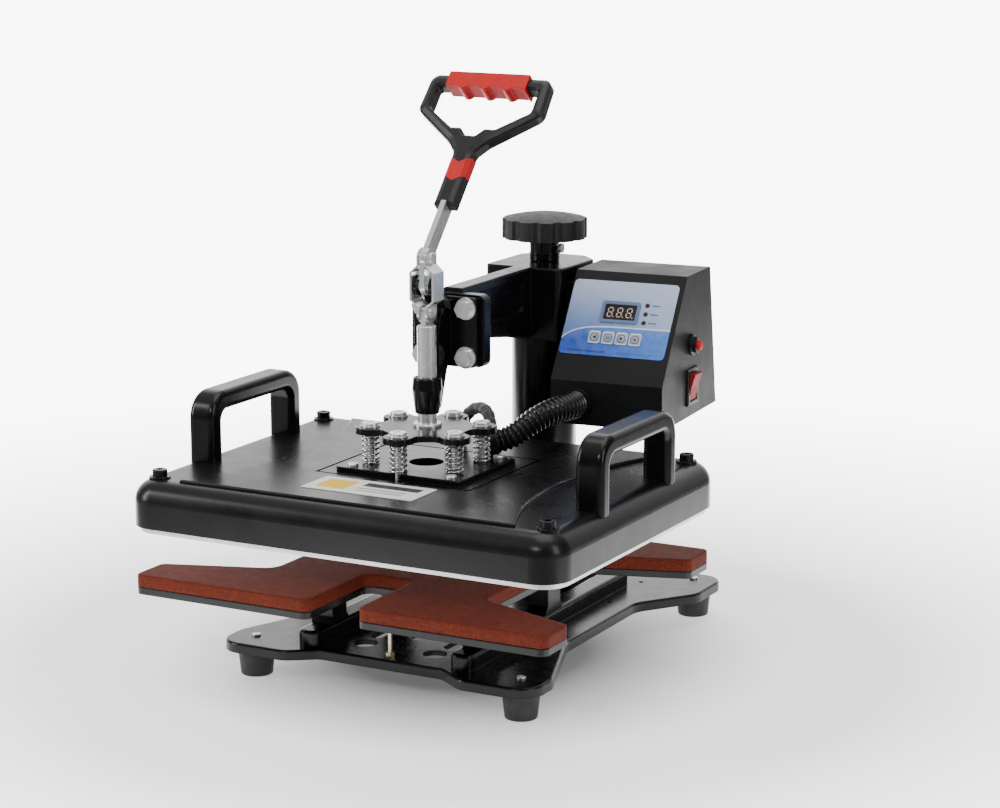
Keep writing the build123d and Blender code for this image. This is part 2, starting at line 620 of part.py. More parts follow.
def clamp_bracket():
    """The toggle's frame: base plate, fork for the fixed pivot, web and guide sleeve."""
    plate = xz_prism([(-29, 250, 5), (29, 250, 5), (29, 307.5, 4), (-29, 307.5, 4)],
                     BRACKET_FRONT, FLANGE_FRONT)
    plate = fillet(plate.edges().filter_by(
        lambda e: abs(e.bounding_box().min.Y - BRACKET_FRONT) < 0.05
        and abs(e.bounding_box().max.Y - BRACKET_FRONT) < 0.05), 1.0)
    shoulder = FORK_R * 0.7
    fork = yz_prism([(BRACKET_FRONT + 1, 296), (BRACKET_FRONT + 1, 305), (-73, 306, 5),
                     (ROD_Y + shoulder, PIVOT_Z + shoulder), (ROD_Y, PIVOT_Z),
                     (ROD_Y, PIVOT_Z - FORK_R), (-84.5, PIVOT_Z - FORK_R, 3), (-77, 300)],
                    -FORK_OUT, FORK_OUT)
    fork += rod_x(-FORK_OUT, FORK_OUT, ROD_Y, PIVOT_Z, FORK_R)
    fork -= block(-FORK_IN, FORK_IN, -120, -78.5, 290, 340)
    spine = yz_prism([(BRACKET_FRONT + 1, 300), (BRACKET_FRONT + 1, 262), (-70, 249, 6),
                      (-80, 219), (-88, 219), (-88, 244, 3), (-83.5, 248, 3), (-83.5, 282),
                      (-78.5, 300)], -5.5, 5.5)
    sleeve = cone(0, ROD_Y, 217, 236, 9.8, 12.2) + cone(0, ROD_Y, 236, 246, 12.2, 11.4)
    sleeve = fillet(top_edges(sleeve, 246), 1.5)
    body = plate + fork + spine + sleeve
    body -= rod(0, ROD_Y, 210, 250, ROD_R + RUNNING_GAP)
    body -= rod(0, ROD_Y, 245.9, 300, ROD_R + 1.4)
    body -= rod_x(-12, 12, ROD_Y, PIVOT_Z, 4.0)
    for x, z in clamp_bolt_spots():
        body -= rod_y(x, BRACKET_FRONT - 1, FLANGE_FRONT + 1, z, 3.6)
    return body


def clamp_bolts():
    """Hex bolts with washers under their heads and nuts behind the flange."""
    bolts = []
    for x, z in clamp_bolt_spots():
        y = BRACKET_FRONT
        head = rod_y(x, y - 1.6, y, z, 9.0)
        hexa = Location((x, y - 1.6, z), (90, 0, 0)) * extrude(RegularPolygon(13 / sqrt(3), 6), 5.5)
        hexa = hexa & rod_y(x, y - 8, y, z, 7.1)
        nut = Location((x, FLANGE_BACK + 6, z), (90, 0, 0)) * extrude(RegularPolygon(13 / sqrt(3), 6), 6)
        bolts.append(head + hexa + rod_y(x, y - 2, FLANGE_BACK + 8, z, 3.5) + nut)
    return bolts


def pivot_pin():
    pin = rod_x(-FORK_OUT, FORK_OUT, ROD_Y, PIVOT_Z, 4.0 - 0.01)
    return pin


def lever_bar():
    """Flat bar: fixed pivot, lever pivot above it, then the bend into the handle."""
    half = 7.5
    top = PIVOT_Z + CRANK
    bar = yz_prism([(ROD_Y - half, PIVOT_Z - 7.6, 7), (ROD_Y + half, PIVOT_Z - 7.6, 7),
                    (ROD_Y + half, top + 2, 4), (ROD_Y - half, top + 6, 6)],
                   -LEVER_T / 2, LEVER_T / 2)
    arm = on_lever(0, 0) * (at(0, 36, 0) * Box(LEVER_T, 80, 13.5))
    bar += arm
    bar += rod_x(-LEVER_T / 2, LEVER_T / 2, ROD_Y, top, 8.0)
    bar -= rod_x(-5, 5, ROD_Y, PIVOT_Z, 4.0 + RUNNING_GAP)
    return bar - rod_x(-5, 5, ROD_Y, top, 3.0)


def upper_rivet():
    """Rivet through the lever's pivot; its ends carry the links."""
    z = PIVOT_Z + CRANK
    under_head = LEVER_T / 2 + 0.35 + LINK_T + 0.05
    body = rod_x(-5.6, 5.6, ROD_Y, z, 3.0)
    for side in (-1, 1):
        head = rod_x(*sorted((side * under_head, side * (under_head + 1.9))), ROD_Y, z, 4.9)
        rim = head.edges().filter_by(GeomType.CIRCLE).sort_by(Axis.X)[-1 if side > 0 else 0]
        body += fillet(rim, 1.3)
    return body


def toggle_links():
    """Two cranked links that pass outside the fork."""
    z_top = PIVOT_Z + CRANK
    near, far = LEVER_T / 2 + 0.35, FORK_OUT + 0.6
    z_end = z_top - LINK_LENGTH
    links = []
    for side in (-1, 1):
        band = [(near, z_top + 10), (near, z_top - 5.2), (far, z_top - 11.2), (far, z_top - 33.5),
                (near, z_top - 38.7), (near, z_end - 10)]
        outer = [(x + LINK_T, z) for x, z in reversed(band)]
        points = [(side * x, z) for x, z in band + outer]
        link = xz_prism(points, ROD_Y - 9, ROD_Y + 9)
        shape = yz_prism([(ROD_Y - 8.3, z_end - 8.3, 8.2), (ROD_Y + 8.3, z_end - 8.3, 8.2),
                          (ROD_Y + 8.3, z_top + 8.3, 8.2), (ROD_Y - 8.3, z_top + 8.3, 8.2)], -14, 14)
        link = link & shape
        link -= rod_x(-14, 14, ROD_Y, z_top, 3.05)
        rivet = rod_x(*sorted((side * (near + LINK_T - 0.5), side * (near + LINK_T + 1.8))), ROD_Y, z_end, 4.4)
        links.append(link + rivet)
    return links


# ---------------------------------------------------------------- handle
def chevron(along, half):
    """A V-shaped edge across the stem, pointing down it."""
    return [(-half, along + half * 0.6), (0, along), (half, along + half * 0.6)]


def stem_piece(z_half, x_half, lower, upper, edge=0.0):
    """A length of the stem between two V edges, with chamfered long edges."""
    points = chevron(lower, x_half) + list(reversed(chevron(upper, x_half)))
    piece = extrude(outline(points), z_half * 2)
    if edge:
        piece = chamfer(piece.edges().filter_by(Axis.Y), edge)
    return on_lever(0, 0, -z_half) * piece


def in_loop(point):
    """True for a point on the rim of the handle's opening."""
    return abs(point.X) < 47.5 and 115 < point.Y < 162.6


def handle_frame():
    """D-shaped handle: stem, two slanted arms, sides and the bar inside the grip."""
    z_half = 7.0
    outer = mirrored([(9.5, 48), (9.5, 99, 8), (18, 109, 6), (57, 138, 9), (55.5, 174, 8)])
    hole = mirrored([(4.5, 115.3, 2), (11, 122.4, 3), (20.5, 122.4), (47, 140.5, 5), (47, 162.4, 3)])
    body = extrude(outline(outer), z_half * 2)
    body = chamfer(body.faces().filter_by(Axis.Z).edges(), HANDLE_CHAMFER)
    body -= extrude(outline(hole), z_half * 2)
    rim = body.edges().filter_by(lambda e: min(e.center().Z, z_half * 2 - e.center().Z) < 0.01
                                 and in_loop(e.center()))
    body = chamfer(rim, LOOP_CHAMFER)
    body = on_lever(0, 0, -z_half) * body
    socket = on_lever(0, 0) * (at(0, 62, 0) * Box(LEVER_T, 30, 13.5))
    band_gap = stem_piece(9.5, 12, 70, 88) - stem_piece(5.2, 7.0, 60, 100)
    grip_gap = on_lever(0, 0) * block(-38, 36, 158, 178, -9, 9)
    grip_core = on_lever(0, 0) * (at(-1, 168.2, 0) * Box(76, 7, 9))
    return body - socket - band_gap - (grip_gap - grip_core)


def handle_band():
    """Red chevron band set round the stem."""
    body = stem_piece(7.0, 9.7, 70, 88, HANDLE_CHAMFER)
    core = stem_piece(5.2, 7.0, 60, 100)
    socket = on_lever(0, 0) * (at(0, 62, 0) * Box(LEVER_T, 30, 13.5))
    return body - core - socket


def handle_grip():
    """Soft red grip with finger bumps along its underside."""
    length = 74.0
    body = at(-1, 168.4, 0) * Box(length, 13.4, 17)
    for i in range(4):
        body += at(-22.7 + 20.3 * i if i else -22.7, 164.2, 0) * Cylinder(5.2, 17)
    body -= block(-60, -38, 150, 180, -12, 12) + block(36, 60, 150, 180, -12, 12)
    body -= at(-1, 168.2, 0) * Box(76, 7, 9)
    return on_lever(0, 0) * body


# ---------------------------------------------------------------- knob and bush
def swivel_bush():
    return (rod(0, COLUMN_Y, HEAD_BOTTOM + 2, 290, BUSH_R)
            - rod(0, COLUMN_Y, HEAD_BOTTOM, 300, COLUMN_R + RUNNING_GAP))


def knob_outline():
    """The knob from above: a disc with a shallow scoop between each two lobes."""
    face = Circle(KNOB_R)
    for i in range(KNOB_LOBES):
        a = 2 * pi * (i + 0.5) / KNOB_LOBES
        scoop = KNOB_R + 4.2
        face -= Location((scoop * cos(a), scoop * sin(a))) * Circle(6.2)
    return face


def hand_knob():
    """Lobed knob with a low domed top."""
    body = at(0, COLUMN_Y, KNOB_BOTTOM) * extrude(knob_outline(), KNOB_TOP - KNOB_BOTTOM)
    dome_r = (KNOB_R ** 2 + KNOB_RISE ** 2) / (2 * KNOB_RISE)
    body &= at(0, COLUMN_Y, KNOB_TOP - dome_r) * Sphere(dome_r)
    return body - rod(0, COLUMN_Y, KNOB_BOTTOM - 1, KNOB_BOTTOM + KNOB_SOCKET, SCREW_R)


def knob_collar():
    collar = rod(0, COLUMN_Y, ARM_TOP + 0.3, KNOB_BOTTOM, COLLAR_R)
    collar = chamfer(top_edges(collar, ARM_TOP + 0.3), 0.6)
    collar += rod(0, COLUMN_Y, ARM_TOP + 5.6, ARM_TOP + 6.6, COLLAR_R + 0.5)
    collar -= rod(0, COLUMN_Y, ARM_TOP - 1, KNOB_BOTTOM + 1, SCREW_R)
    return collar - rod_x(SCREW_R - 1, COLLAR_R + 2, COLUMN_Y, SET_SCREW_Z, 1.5)


def pressure_screw():
    return rod(0, COLUMN_Y, 222, KNOB_BOTTOM + KNOB_SOCKET, SCREW_R)


def set_screw():
    screw = rod_x(SCREW_R, COLLAR_R + 2.5, COLUMN_Y, SET_SCREW_Z, 1.5)
    return screw + rod_x(COLLAR_R + 2.4, COLLAR_R + 4.4, COLUMN_Y, SET_SCREW_Z, 4.2)


# ---------------------------------------------------------------- control box
def box_profile(inset):
    """The box's side view; inset gives the inside of its sheet."""
    slope = atan2(BOX_TOP - BOX_KNEE, -BOX_FRONT)
    knee_shift = inset * tan((pi / 2 - slope) / 2)
    peak_shift = inset * tan(slope / 2)
    lean = (BOX_FOOT_BACK - BOX_TOP_BACK) / (BOX_TOP - BOX_BOTTOM)
    return [(BOX_FRONT + inset, BOX_BOTTOM + inset), (BOX_FOOT_BACK - inset * lean, BOX_BOTTOM + inset),
            (BOX_TOP_BACK + inset * lean, BOX_TOP - inset), (peak_shift, BOX_TOP - inset),
            (BOX_FRONT + inset, BOX_KNEE - knee_shift)]


def back_line(z):
    share = (BOX_TOP - z) / (BOX_TOP - BOX_BOTTOM)
    return BOX_TOP_BACK + (BOX_FOOT_BACK - BOX_TOP_BACK) * share


def box_shell():
    body = yz_prism(box_profile(0), 0, BOX_W)
    body = fillet(body.edges().filter_by(Axis.X).sort_by(Axis.Y)[:-2], 1.2)
    body -= yz_prism(box_profile(BOX_WALL), BOX_WALL, BOX_W - BOX_WALL)
    back = [(back_line(z) + y, z) for y, z in ((-1.6, BOX_TOP - 1.5), (9, BOX_TOP - 1.5),
                                               (9, BOX_BOTTOM + 1.5), (-1.6, BOX_BOTTOM + 1.5))]
    body -= yz_prism(back, BOX_WALL, BOX_W - BOX_WALL)
    body = in_box(body)
    body -= on_panel(47.5, 37.5) * extrude(Rectangle(30, 16), 6, both=True)
    for x in PANEL_KEYS:
        body -= on_panel(x, KEY_DOWN) * extrude(Rectangle(10.6, 11.6), 6, both=True)
    for down in LED_DOWN:
        body -= on_panel(LED_X, down) * Cylinder(2.0, 12)
    body -= in_box(rod_x(BOX_W - 5, BOX_W + 5, BUTTON_AT[0], BUTTON_AT[1], 6.0))
    body -= in_box(block(BOX_W - 5, BOX_W + 5, SWITCH_AT[0] - 10.5, SWITCH_AT[0] + 10.5,
                         SWITCH_AT[1] - 13.5, SWITCH_AT[1] + 13.5))
    body -= in_box(rod_y(CONDUIT_AT[0], BOX_FRONT - 3, BOX_FRONT + 4, CONDUIT_AT[1], 8.0))
    return body


def box_back():
    skin = [(back_line(z) + y, z) for y, z in ((-1.5, BOX_TOP - 1.6), (0, BOX_TOP - 1.6),
                                               (0, BOX_BOTTOM + 1.6), (-1.5, BOX_BOTTOM + 1.6))]
    body = yz_prism(skin, BOX_WALL + 0.1, BOX_W - BOX_WALL - 0.1)
    return in_box(body) - on_back(BOX_W / 2, INLET_Z) * Box(28, 20, 12)


def on_back(x, z):
    """A location on the box's sloping back at a height: +Z points out of it."""
    plane = Plane((x, back_line(z), z), x_dir=(-1, 0, 0),
                  z_dir=(0, BOX_TOP - BOX_BOTTOM, BOX_FOOT_BACK - BOX_TOP_BACK))
    return Location((BOX_AT[0], BOX_AT[1], 0), (0, 0, BOX_TURN)) * Location(plane)


def power_inlet():
    """Three-pin appliance inlet in the box's back."""
    body = block(-13.5, 13.5, -9.5, 9.5, -22, 1) + block(-17, 17, -13, 13, 0, 2.6)
    body -= block(-12, 12, -8, 8, -15, 5)
    for x in (-7, 0, 7):
        body += block(x - 1, x + 1, -2, 2, -16, -6)
    return on_back(BOX_W / 2, INLET_Z) * body


def box_bracket():
    """Wedge that carries the box on the arm's head."""
    turn = radians(BOX_TURN)

    def side_point(y):
        return (BOX_AT[0] - y * sin(turn), BOX_AT[1] + y * cos(turn))
    a, b = side_point(-8), side_point(48)
    return prism([(HEAD_X, a[1]), a, b, (HEAD_X, b[1])], 258, 300)


def control_overlay():
    """Printed film on the sloped panel, open at the display, lights and keys."""
    film = Location((47.75, -43.5)) * RectangleRounded(93.5, 69, 4)
    film -= Location((47.5, -37.5)) * RectangleRounded(30, 16, 1)
    for x in PANEL_KEYS:
        film -= Location((x, -KEY_DOWN)) * Rectangle(10.6, 11.6)
    for down in LED_DOWN:
        film -= Location((LED_X, -down)) * Circle(2.0)
    return on_panel(0, 0) * extrude(film, 0.5)


def display_window():
    """Three-digit display module behind its rim."""
    rim = on_panel(47.5, 37.5, 0.5) * extrude(RectangleRounded(34, 20, 2.5)
                                              - RectangleRounded(29, 15, 1), 0.9)
    body = on_panel(47.5, 37.5, -6) * extrude(RectangleRounded(29.6, 15.6, 0.8), 6.5)
    neck = on_panel(47.5, 37.5, 0.4) * extrude(RectangleRounded(29.6, 15.6, 0.8)
                                               - RectangleRounded(28, 14, 0.8), 0.8)
    return rim + body + neck


def indicator_leds():
    return [on_panel(LED_X, d, -5) * extrude(Circle(1.9), 5.9) for d in LED_DOWN]


def panel_key(x):
    key = on_panel(x, KEY_DOWN, -1.6) * extrude(RectangleRounded(10.2, 11.2, 1.4), 2.8)
    return key + on_panel(x, KEY_DOWN, -3.0) * extrude(Rectangle(6, 6), 1.5)


def circuit_board():
    """Control board on stand-offs behind the panel, and the solid-state relay on the floor."""
    board = on_panel(48, 44, -9.2) * extrude(Rectangle(86, 62), 1.6)
    board += on_panel(26, 66, -19) * extrude(Rectangle(28, 14), 10)
    board += on_panel(66, 24, -15) * extrude(Rectangle(18, 12), 6)
    for x in (8, 88):
        for down in (17, 72):
            board += on_panel(x, down, -8) * extrude(Circle(3), 8 - BOX_WALL)
    return [board, in_box(block(34, 80, -20, 26, BOX_BOTTOM + BOX_WALL, BOX_BOTTOM + 22))]


def switch_frame():
    y, z = SWITCH_AT
    frame = block(BOX_W, BOX_W + 2, y - 12.7, y + 12.7, z - 15.5, z + 15.5)
    frame = chamfer(frame.edges().filter_by(lambda e: abs(e.center().X - BOX_W - 2) < 0.01), 0.8)
    frame += block(BOX_W - 16, BOX_W + 1, y - 10.3, y + 10.3, z - 13.3, z + 13.3)
    frame -= block(BOX_W - 8, BOX_W + 4, y - 9.3, y + 9.3, z - 12.3, z + 12.3)
    return in_box(frame - rod_y(BOX_W, y - 10.4, y + 10.4, z, TRUNNION_R + RUNNING_GAP))


def rocker_paddle():
    """Rocker on two trunnions, pressed in at its lower half."""
    y, z = SWITCH_AT
    paddle = xz_prism([(BOX_W - 2.5, z - 11.4), (BOX_W + 1.2, z - 11.6), (BOX_W + 3.0, z),
                       (BOX_W + 6.6, z + 11.6), (BOX_W - 2.5, z + 11.4), (BOX_W - 4.2, z)],
                      y - 8.9, y + 8.9)
    paddle = fillet(paddle.edges().filter_by(Axis.Y).sort_by(Axis.X)[-1], 0.8)
    paddle += rod_y(BOX_W, y - 10.2, y + 10.2, z, TRUNNION_R)
    return in_box(paddle)


def button_bezel():
    """Ring nut and body of the reset breaker."""
    y, z = BUTTON_AT
    body = rod_x(BOX_W, BOX_W + 2.4, y, z, 9.0)
    body += rod_x(BOX_W + 2, BOX_W + 6, y, z, 6.6)
    body += rod_x(BOX_W - 18, BOX_W + 1, y, z, 5.9)
    return in_box(body - rod_x(BOX_W - 9, BOX_W + 7, y, z, 4.2))


def reset_button():
    y, z = BUTTON_AT
    cap = rod_x(BOX_W - 4, BOX_W + 9.5, y, z, 3.9)
    cap = fillet(cap.edges().filter_by(GeomType.CIRCLE).sort_by(Axis.X)[-1], 1.6)
    return in_box(cap)


def conduit_gland():
    x, z = CONDUIT_AT
    body = rod_y(x, BOX_FRONT - GLAND_T, BOX_FRONT, z, 12.4)
    body += rod_y(x, BOX_FRONT - 1, BOX_FRONT + 8, z, 7.9)
    return in_box(body - rod_y(x, BOX_FRONT - 6, BOX_FRONT + 9, z, 5.5))


# ---------------------------------------------------------------- conduit and sleeve
def cord_tube(points, radius):
    """A tube along straight runs joined by tangent arcs."""
    radii = []
    vectors = [Vector(*p) for p in points]
    for a, b, c in zip(vectors, vectors[1:], vectors[2:]):
        turn = radians((b - a).get_angle(c - b))
        radii.append(0.45 * min((b - a).length, (c - b).length) / tan(turn / 2))
    route = FilletPolyline(*points, radius=radii)
    start = Plane(route @ 0, z_dir=route % 0)
    tube = sweep(start * Circle(radius), path=route)
    print("radii", [round(r, 1) for r in radii], "length", round(route.length, 1),
          "volume share", round(tube.volume / (pi * radius ** 2 * route.length), 4))
    return tube


def gland_mouth():
    """Centre of the gland's outer face, in the part's frame, and the way it points."""
    turn = radians(BOX_TURN)
    x, y = CONDUIT_AT[0], BOX_FRONT - GLAND_T
    mouth = Vector(BOX_AT[0] + x * cos(turn) - y * sin(turn),
                   BOX_AT[1] + x * sin(turn) + y * cos(turn), CONDUIT_AT[1])
    return mouth, Vector(sin(turn), -cos(turn), 0)


def flexible_conduit():
    mouth, out = gland_mouth()
    start = mouth + out * 0.3
    knee = mouth + out * 10
    return cord_tube([tuple(start), tuple(knee)] + CONDUIT_ROUTE, CONDUIT_R)


def conduit_socket():
    """Collar on the cover that takes the conduit's end, with the sleeve's boss on top."""
    before, end = Vector(*CONDUIT_ROUTE[-2]), Vector(*CONDUIT_ROUTE[-1])
    axis = (end - before).normalized()
    body = Plane(end, z_dir=axis) * extrude(Circle(11.5), 6.5)
    foot = block(24, 33, -45, -31, MOUNT_BOTTOM, 182)
    boss = block(23.0, 33.8, -44, -33, 184, BOSS_TOP)
    boss = fillet(boss.edges().filter_by(Axis.Z), 3.0)
    keep = Plane(end, z_dir=axis) * (at(0, 0, 20) * Box(60, 60, 40))
    body += (foot + boss) & keep
    mount_edge = PLATEN_Y + MOUNT_D / 2 + 0.3
    return body - block(-60, 60, -140, mount_edge, 170, MOUNT_BOTTOM + MOUNT_T + 0.3)


def wire_sleeve():
    """Smooth fibreglass sleeve from the collar into the cover."""
    return cord_tube(SLEEVE_ROUTE, SLEEVE_R)


# ---------------------------------------------------------------- write the parts
def main():
    os.makedirs("parts", exist_ok=True)
    for maker in (
            base_frame, rubber_feet, foot_screws, column, column_bolts, silicone_pad, lower_plate,
            platen_posts, post_studs, guide_stud, platen_cover, heating_plate, heating_element,
            insulation_sheet, cover_bolts, mount_plate, mount_screws, spring_bolts, handle_screws,
            rating_plate, pressure_springs, pressure_plate, plunger_rod, rod_collar, swing_arm,
            clamp_bracket, clamp_bolts, pivot_pin, lever_bar, upper_rivet, toggle_links,
            handle_frame, handle_band, handle_grip, swivel_bush, hand_knob,
            knob_collar, pressure_screw, set_screw, box_shell, box_back, power_inlet, box_bracket,
            control_overlay, display_window, indicator_leds, circuit_board,
            switch_frame, rocker_paddle, button_bezel, reset_button, conduit_gland,
            flexible_conduit, conduit_socket, wire_sleeve):
        write(maker.__name__, maker())
    write("side_handles", [side_handle(-1), side_handle(1)])
    for number, x in enumerate(PANEL_KEYS, 1):
        write(f"panel_key_{number}", panel_key(x))


main()
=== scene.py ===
"""Looks of a swing-away heat press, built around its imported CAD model.

Every position is in the CAD frame, in metres: +X to the operator's right, +Y to the back, +Z up.
Points given in millimetres are laid out from the centre of the feet, as the design is, and
feet() brings them into the frame.
"""
import math

import bmesh
import bpy
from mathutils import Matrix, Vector


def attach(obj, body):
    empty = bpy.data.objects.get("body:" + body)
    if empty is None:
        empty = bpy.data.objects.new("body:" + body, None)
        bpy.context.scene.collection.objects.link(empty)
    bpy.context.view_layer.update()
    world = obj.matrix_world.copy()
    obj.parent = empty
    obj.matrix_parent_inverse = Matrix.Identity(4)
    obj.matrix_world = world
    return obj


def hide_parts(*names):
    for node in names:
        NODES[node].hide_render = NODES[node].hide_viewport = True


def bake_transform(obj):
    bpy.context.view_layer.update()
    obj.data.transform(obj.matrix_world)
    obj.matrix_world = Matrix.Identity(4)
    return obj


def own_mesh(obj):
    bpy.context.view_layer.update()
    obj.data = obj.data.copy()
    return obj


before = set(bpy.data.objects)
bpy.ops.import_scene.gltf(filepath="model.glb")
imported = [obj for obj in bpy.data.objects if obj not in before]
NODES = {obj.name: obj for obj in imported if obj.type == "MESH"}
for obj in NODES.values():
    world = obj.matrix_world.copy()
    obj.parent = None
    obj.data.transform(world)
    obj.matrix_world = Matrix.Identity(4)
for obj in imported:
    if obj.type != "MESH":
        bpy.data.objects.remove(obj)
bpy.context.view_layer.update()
MM = 0.001
FEET_Y = 31.0
PLATEN_Y = -94.9

# The control box's panel: its upper left corner, and its directions to the right and downhill
BOX_TURN = math.radians(4.8)
SLOPE = Vector((0.0, -58.6, -83.5)).normalized()
PANEL_AT = Vector((43.0, 89.0 + FEET_Y, 310.5)) * MM
PANEL_RIGHT = Vector((math.cos(BOX_TURN), math.sin(BOX_TURN), 0.0))
PANEL_DOWN = Vector((-SLOPE.y * math.sin(BOX_TURN), SLOPE.y * math.cos(BOX_TURN), SLOPE.z))
PANEL_OUT = PANEL_DOWN.cross(PANEL_RIGHT)
KEYS_X, KEYS_DOWN = (30.0, 42.0, 54.0, 66.0), 61.5
DISPLAY_X, DISPLAY_DOWN, DIGIT_PITCH = 47.0, 37.5, 8.4

SPRING_Z = (176.4, 201.0)
SPRING_COUNT, SPRING_CIRCLE_R = 6, 44.7
WIRE_R, COIL_R, COIL_TURNS = 0.95, 6.4, 6.5
CONDUIT_MOUTH = Vector((72.17, 28.4, 208.0))
CONDUIT_OUT = Vector((math.sin(BOX_TURN), -math.cos(BOX_TURN), 0.0))
CONDUIT_RING_PITCH = 4.3
CONDUIT_ROUTE = ((66.5, -3.5, 207.5), (59, -17.5, 202.5), (50.5, -28.5, 194), (42.5, -35, 188.3),
                 (34, -40, 185.5))
SLEEVE_ROUTE = ((28.5, -38.5, 197.5), (27.3, -37.3, 203.5), (21.5, -31.5, 208), (11, -22, 208.8),
                (-1.5, -14, 204.8), (-10.3, -11.5, 196.3), (-13.5, -11.9, 185.5), (-13.7, -12, 174))


def node_box(node):
    """Lowest and highest corner of a CAD node in the frame."""
    corners = [node.matrix_world @ Vector(c) for c in node.bound_box]
    return [Vector([pick(c[i] for c in corners) for i in range(3)]) for pick in (min, max)]


def feet(x, y, z):
    """A point given in millimetres from the centre of the feet, in the frame."""
    return Vector((x, y + FEET_Y, z)) * MM


# ---------------------------------------------------------------- materials: a small builder
class Paint:
    """One principled material and the nodes that feed it.

    The colour and roughness it starts with hold wherever no node is linked in their place.
    """

    def __init__(self, name, color, roughness=0.5, metallic=0.0, **sockets):
        self.material = bpy.data.materials.new(name)
        self.material.use_nodes = True
        self.tree = self.material.node_tree
        self.shader = self.tree.nodes["Principled BSDF"]
        self.put("Base Color", (*color, 1.0))
        self.put("Roughness", roughness)
        self.put("Metallic", metallic)
        for key, value in sockets.items():
            self.put(key.replace("_", " "), value)
        self.coords = self.node("ShaderNodeTexCoord").outputs["Object"]
        self.height = None

    def put(self, socket, value):
        self.shader.inputs[socket].default_value = value

    def node(self, kind, inputs=None, **settings):
        made = self.tree.nodes.new(kind)
        for key, value in settings.items():
            setattr(made, key, value)
        for key, value in (inputs or {}).items():
            if hasattr(value, "is_output"):
                self.tree.links.new(value, made.inputs[key])
            else:
                made.inputs[key].default_value = value
        return made

    def link(self, output, socket):
        self.tree.links.new(output, self.shader.inputs[socket])

    def noise(self, scale, detail=3.0, stretch=(1, 1, 1)):
        """Noise of a wavelength in millimetres, optionally stretched along an axis."""
        mapping = self.node("ShaderNodeMapping", {"Vector": self.coords, "Scale": stretch})
        made = self.node("ShaderNodeTexNoise",
                         {"Vector": mapping.outputs["Vector"], "Scale": 1000.0 / scale,
                          "Detail": detail})
        return made.outputs["Fac"]

    def cells(self, scale):
        """Distance to the nearest of many scattered points, a wavelength in millimetres apart."""
        made = self.node("ShaderNodeTexVoronoi", {"Vector": self.coords, "Scale": 1000.0 / scale})
        return made.outputs["Distance"]

    def math(self, operation, *values):
        return self.node("ShaderNodeMath", dict(enumerate(values)), operation=operation).outputs[0]

    def spread(self, value, low, high, from_low=0.3, from_high=0.7):
        """Maps a value that moves between two limits onto another range."""
        return self.node("ShaderNodeMapRange", {"Value": value, "From Min": from_low,
                                                "From Max": from_high, "To Min": low,
                                                "To Max": high}).outputs["Result"]

    def mix(self, share, first, second):
        """Blends two colours, each a tuple or an output."""
        first, second = [(*c, 1.0) if isinstance(c, tuple) else c for c in (first, second)]
        made = self.node("ShaderNodeMix", {0: share, 6: first, 7: second}, data_type="RGBA")
        return made.outputs[2]

    def along(self, origin, direction):
        """Distance from a point along a direction, in millimetres."""
        offset = self.node("ShaderNodeVectorMath", {0: self.coords, 1: tuple(origin)},
                           operation="SUBTRACT").outputs[0]
        dot = self.node("ShaderNodeVectorMath", {0: offset, 1: tuple(direction / MM)},
                        operation="DOT_PRODUCT")
        return dot.outputs["Value"]

    def within(self, value, low, high, soft=0.15):
        """One between two limits, falling to nothing over a soft edge."""
        rise = self.spread(value, 0.0, 1.0, low - soft, low + soft)
        fall = self.spread(value, 1.0, 0.0, high - soft, high + soft)
        return self.math("MULTIPLY", rise, fall)

    def patch(self, u, v, box):
        """One inside a rectangle (left, right, top, bottom) of two distances."""
        return self.math("MULTIPLY", self.within(u, box[0], box[1]), self.within(v, box[2], box[3]))

    def bump(self, value, depth):
        """Adds a height in millimetres, on top of any earlier one."""
        scaled = self.math("MULTIPLY", value, depth * MM)
        self.height = scaled if self.height is None else self.math("ADD", self.height, scaled)
        return self

    def done(self, edge=0.0):
        """Joins the heights into one bump over a rounded edge, in millimetres."""
        inputs = {}
        if edge:
            inputs["Normal"] = self.node("ShaderNodeBevel", {"Radius": edge * MM},
                                         samples=4).outputs["Normal"]
        if self.height is not None:
            bumped = self.node("ShaderNodeBump", {"Height": self.height, "Distance": 1.0, **inputs})
            self.link(bumped.outputs["Normal"], "Normal")
        elif edge:
            self.link(inputs["Normal"], "Normal")
        return self.material


def enamel():
    """Gloss black enamel with faint orange peel."""
    p = Paint("enamel", (0.005, 0.005, 0.006), 0.24, Specular_IOR_Level=0.36)
    p.link(p.mix(p.spread(p.noise(45), 0, 1), (0.0016, 0.0016, 0.0021), (0.004, 0.004, 0.005)),
           "Base Color")
    p.link(p.spread(p.noise(14), 0.19, 0.25), "Roughness")
    p.bump(p.noise(12, 1), 0.004)
    return p.done(1.2)


def cast_enamel():
    """The same enamel over a casting: a slightly lumpy skin."""
    p = Paint("cast_enamel", (0.005, 0.005, 0.006), 0.28, Specular_IOR_Level=0.32)
    p.link(p.mix(p.spread(p.noise(30), 0, 1), (0.0016, 0.0016, 0.0021), (0.0045, 0.0045, 0.0055)),
           "Base Color")
    p.link(p.spread(p.noise(9), 0.20, 0.28), "Roughness")
    p.bump(p.noise(18, 1), 0.012).bump(p.noise(2.6, 1), 0.001)
    return p.done(1.6)


def powder_coat():
    """Fine-grained powder coat with a soft sheen."""
    p = Paint("powder_coat", (0.009, 0.009, 0.011), 0.34, Specular_IOR_Level=0.36)
    p.link(p.mix(p.spread(p.noise(60), 0, 1), (0.0022, 0.0022, 0.0030), (0.0055, 0.0055, 0.0070)),
           "Base Color")
    p.link(p.spread(p.noise(20), 0.26, 0.32), "Roughness")
    p.bump(p.noise(2.2, 1), 0.022).bump(p.noise(5, 1), 0.012)
    return p.done()


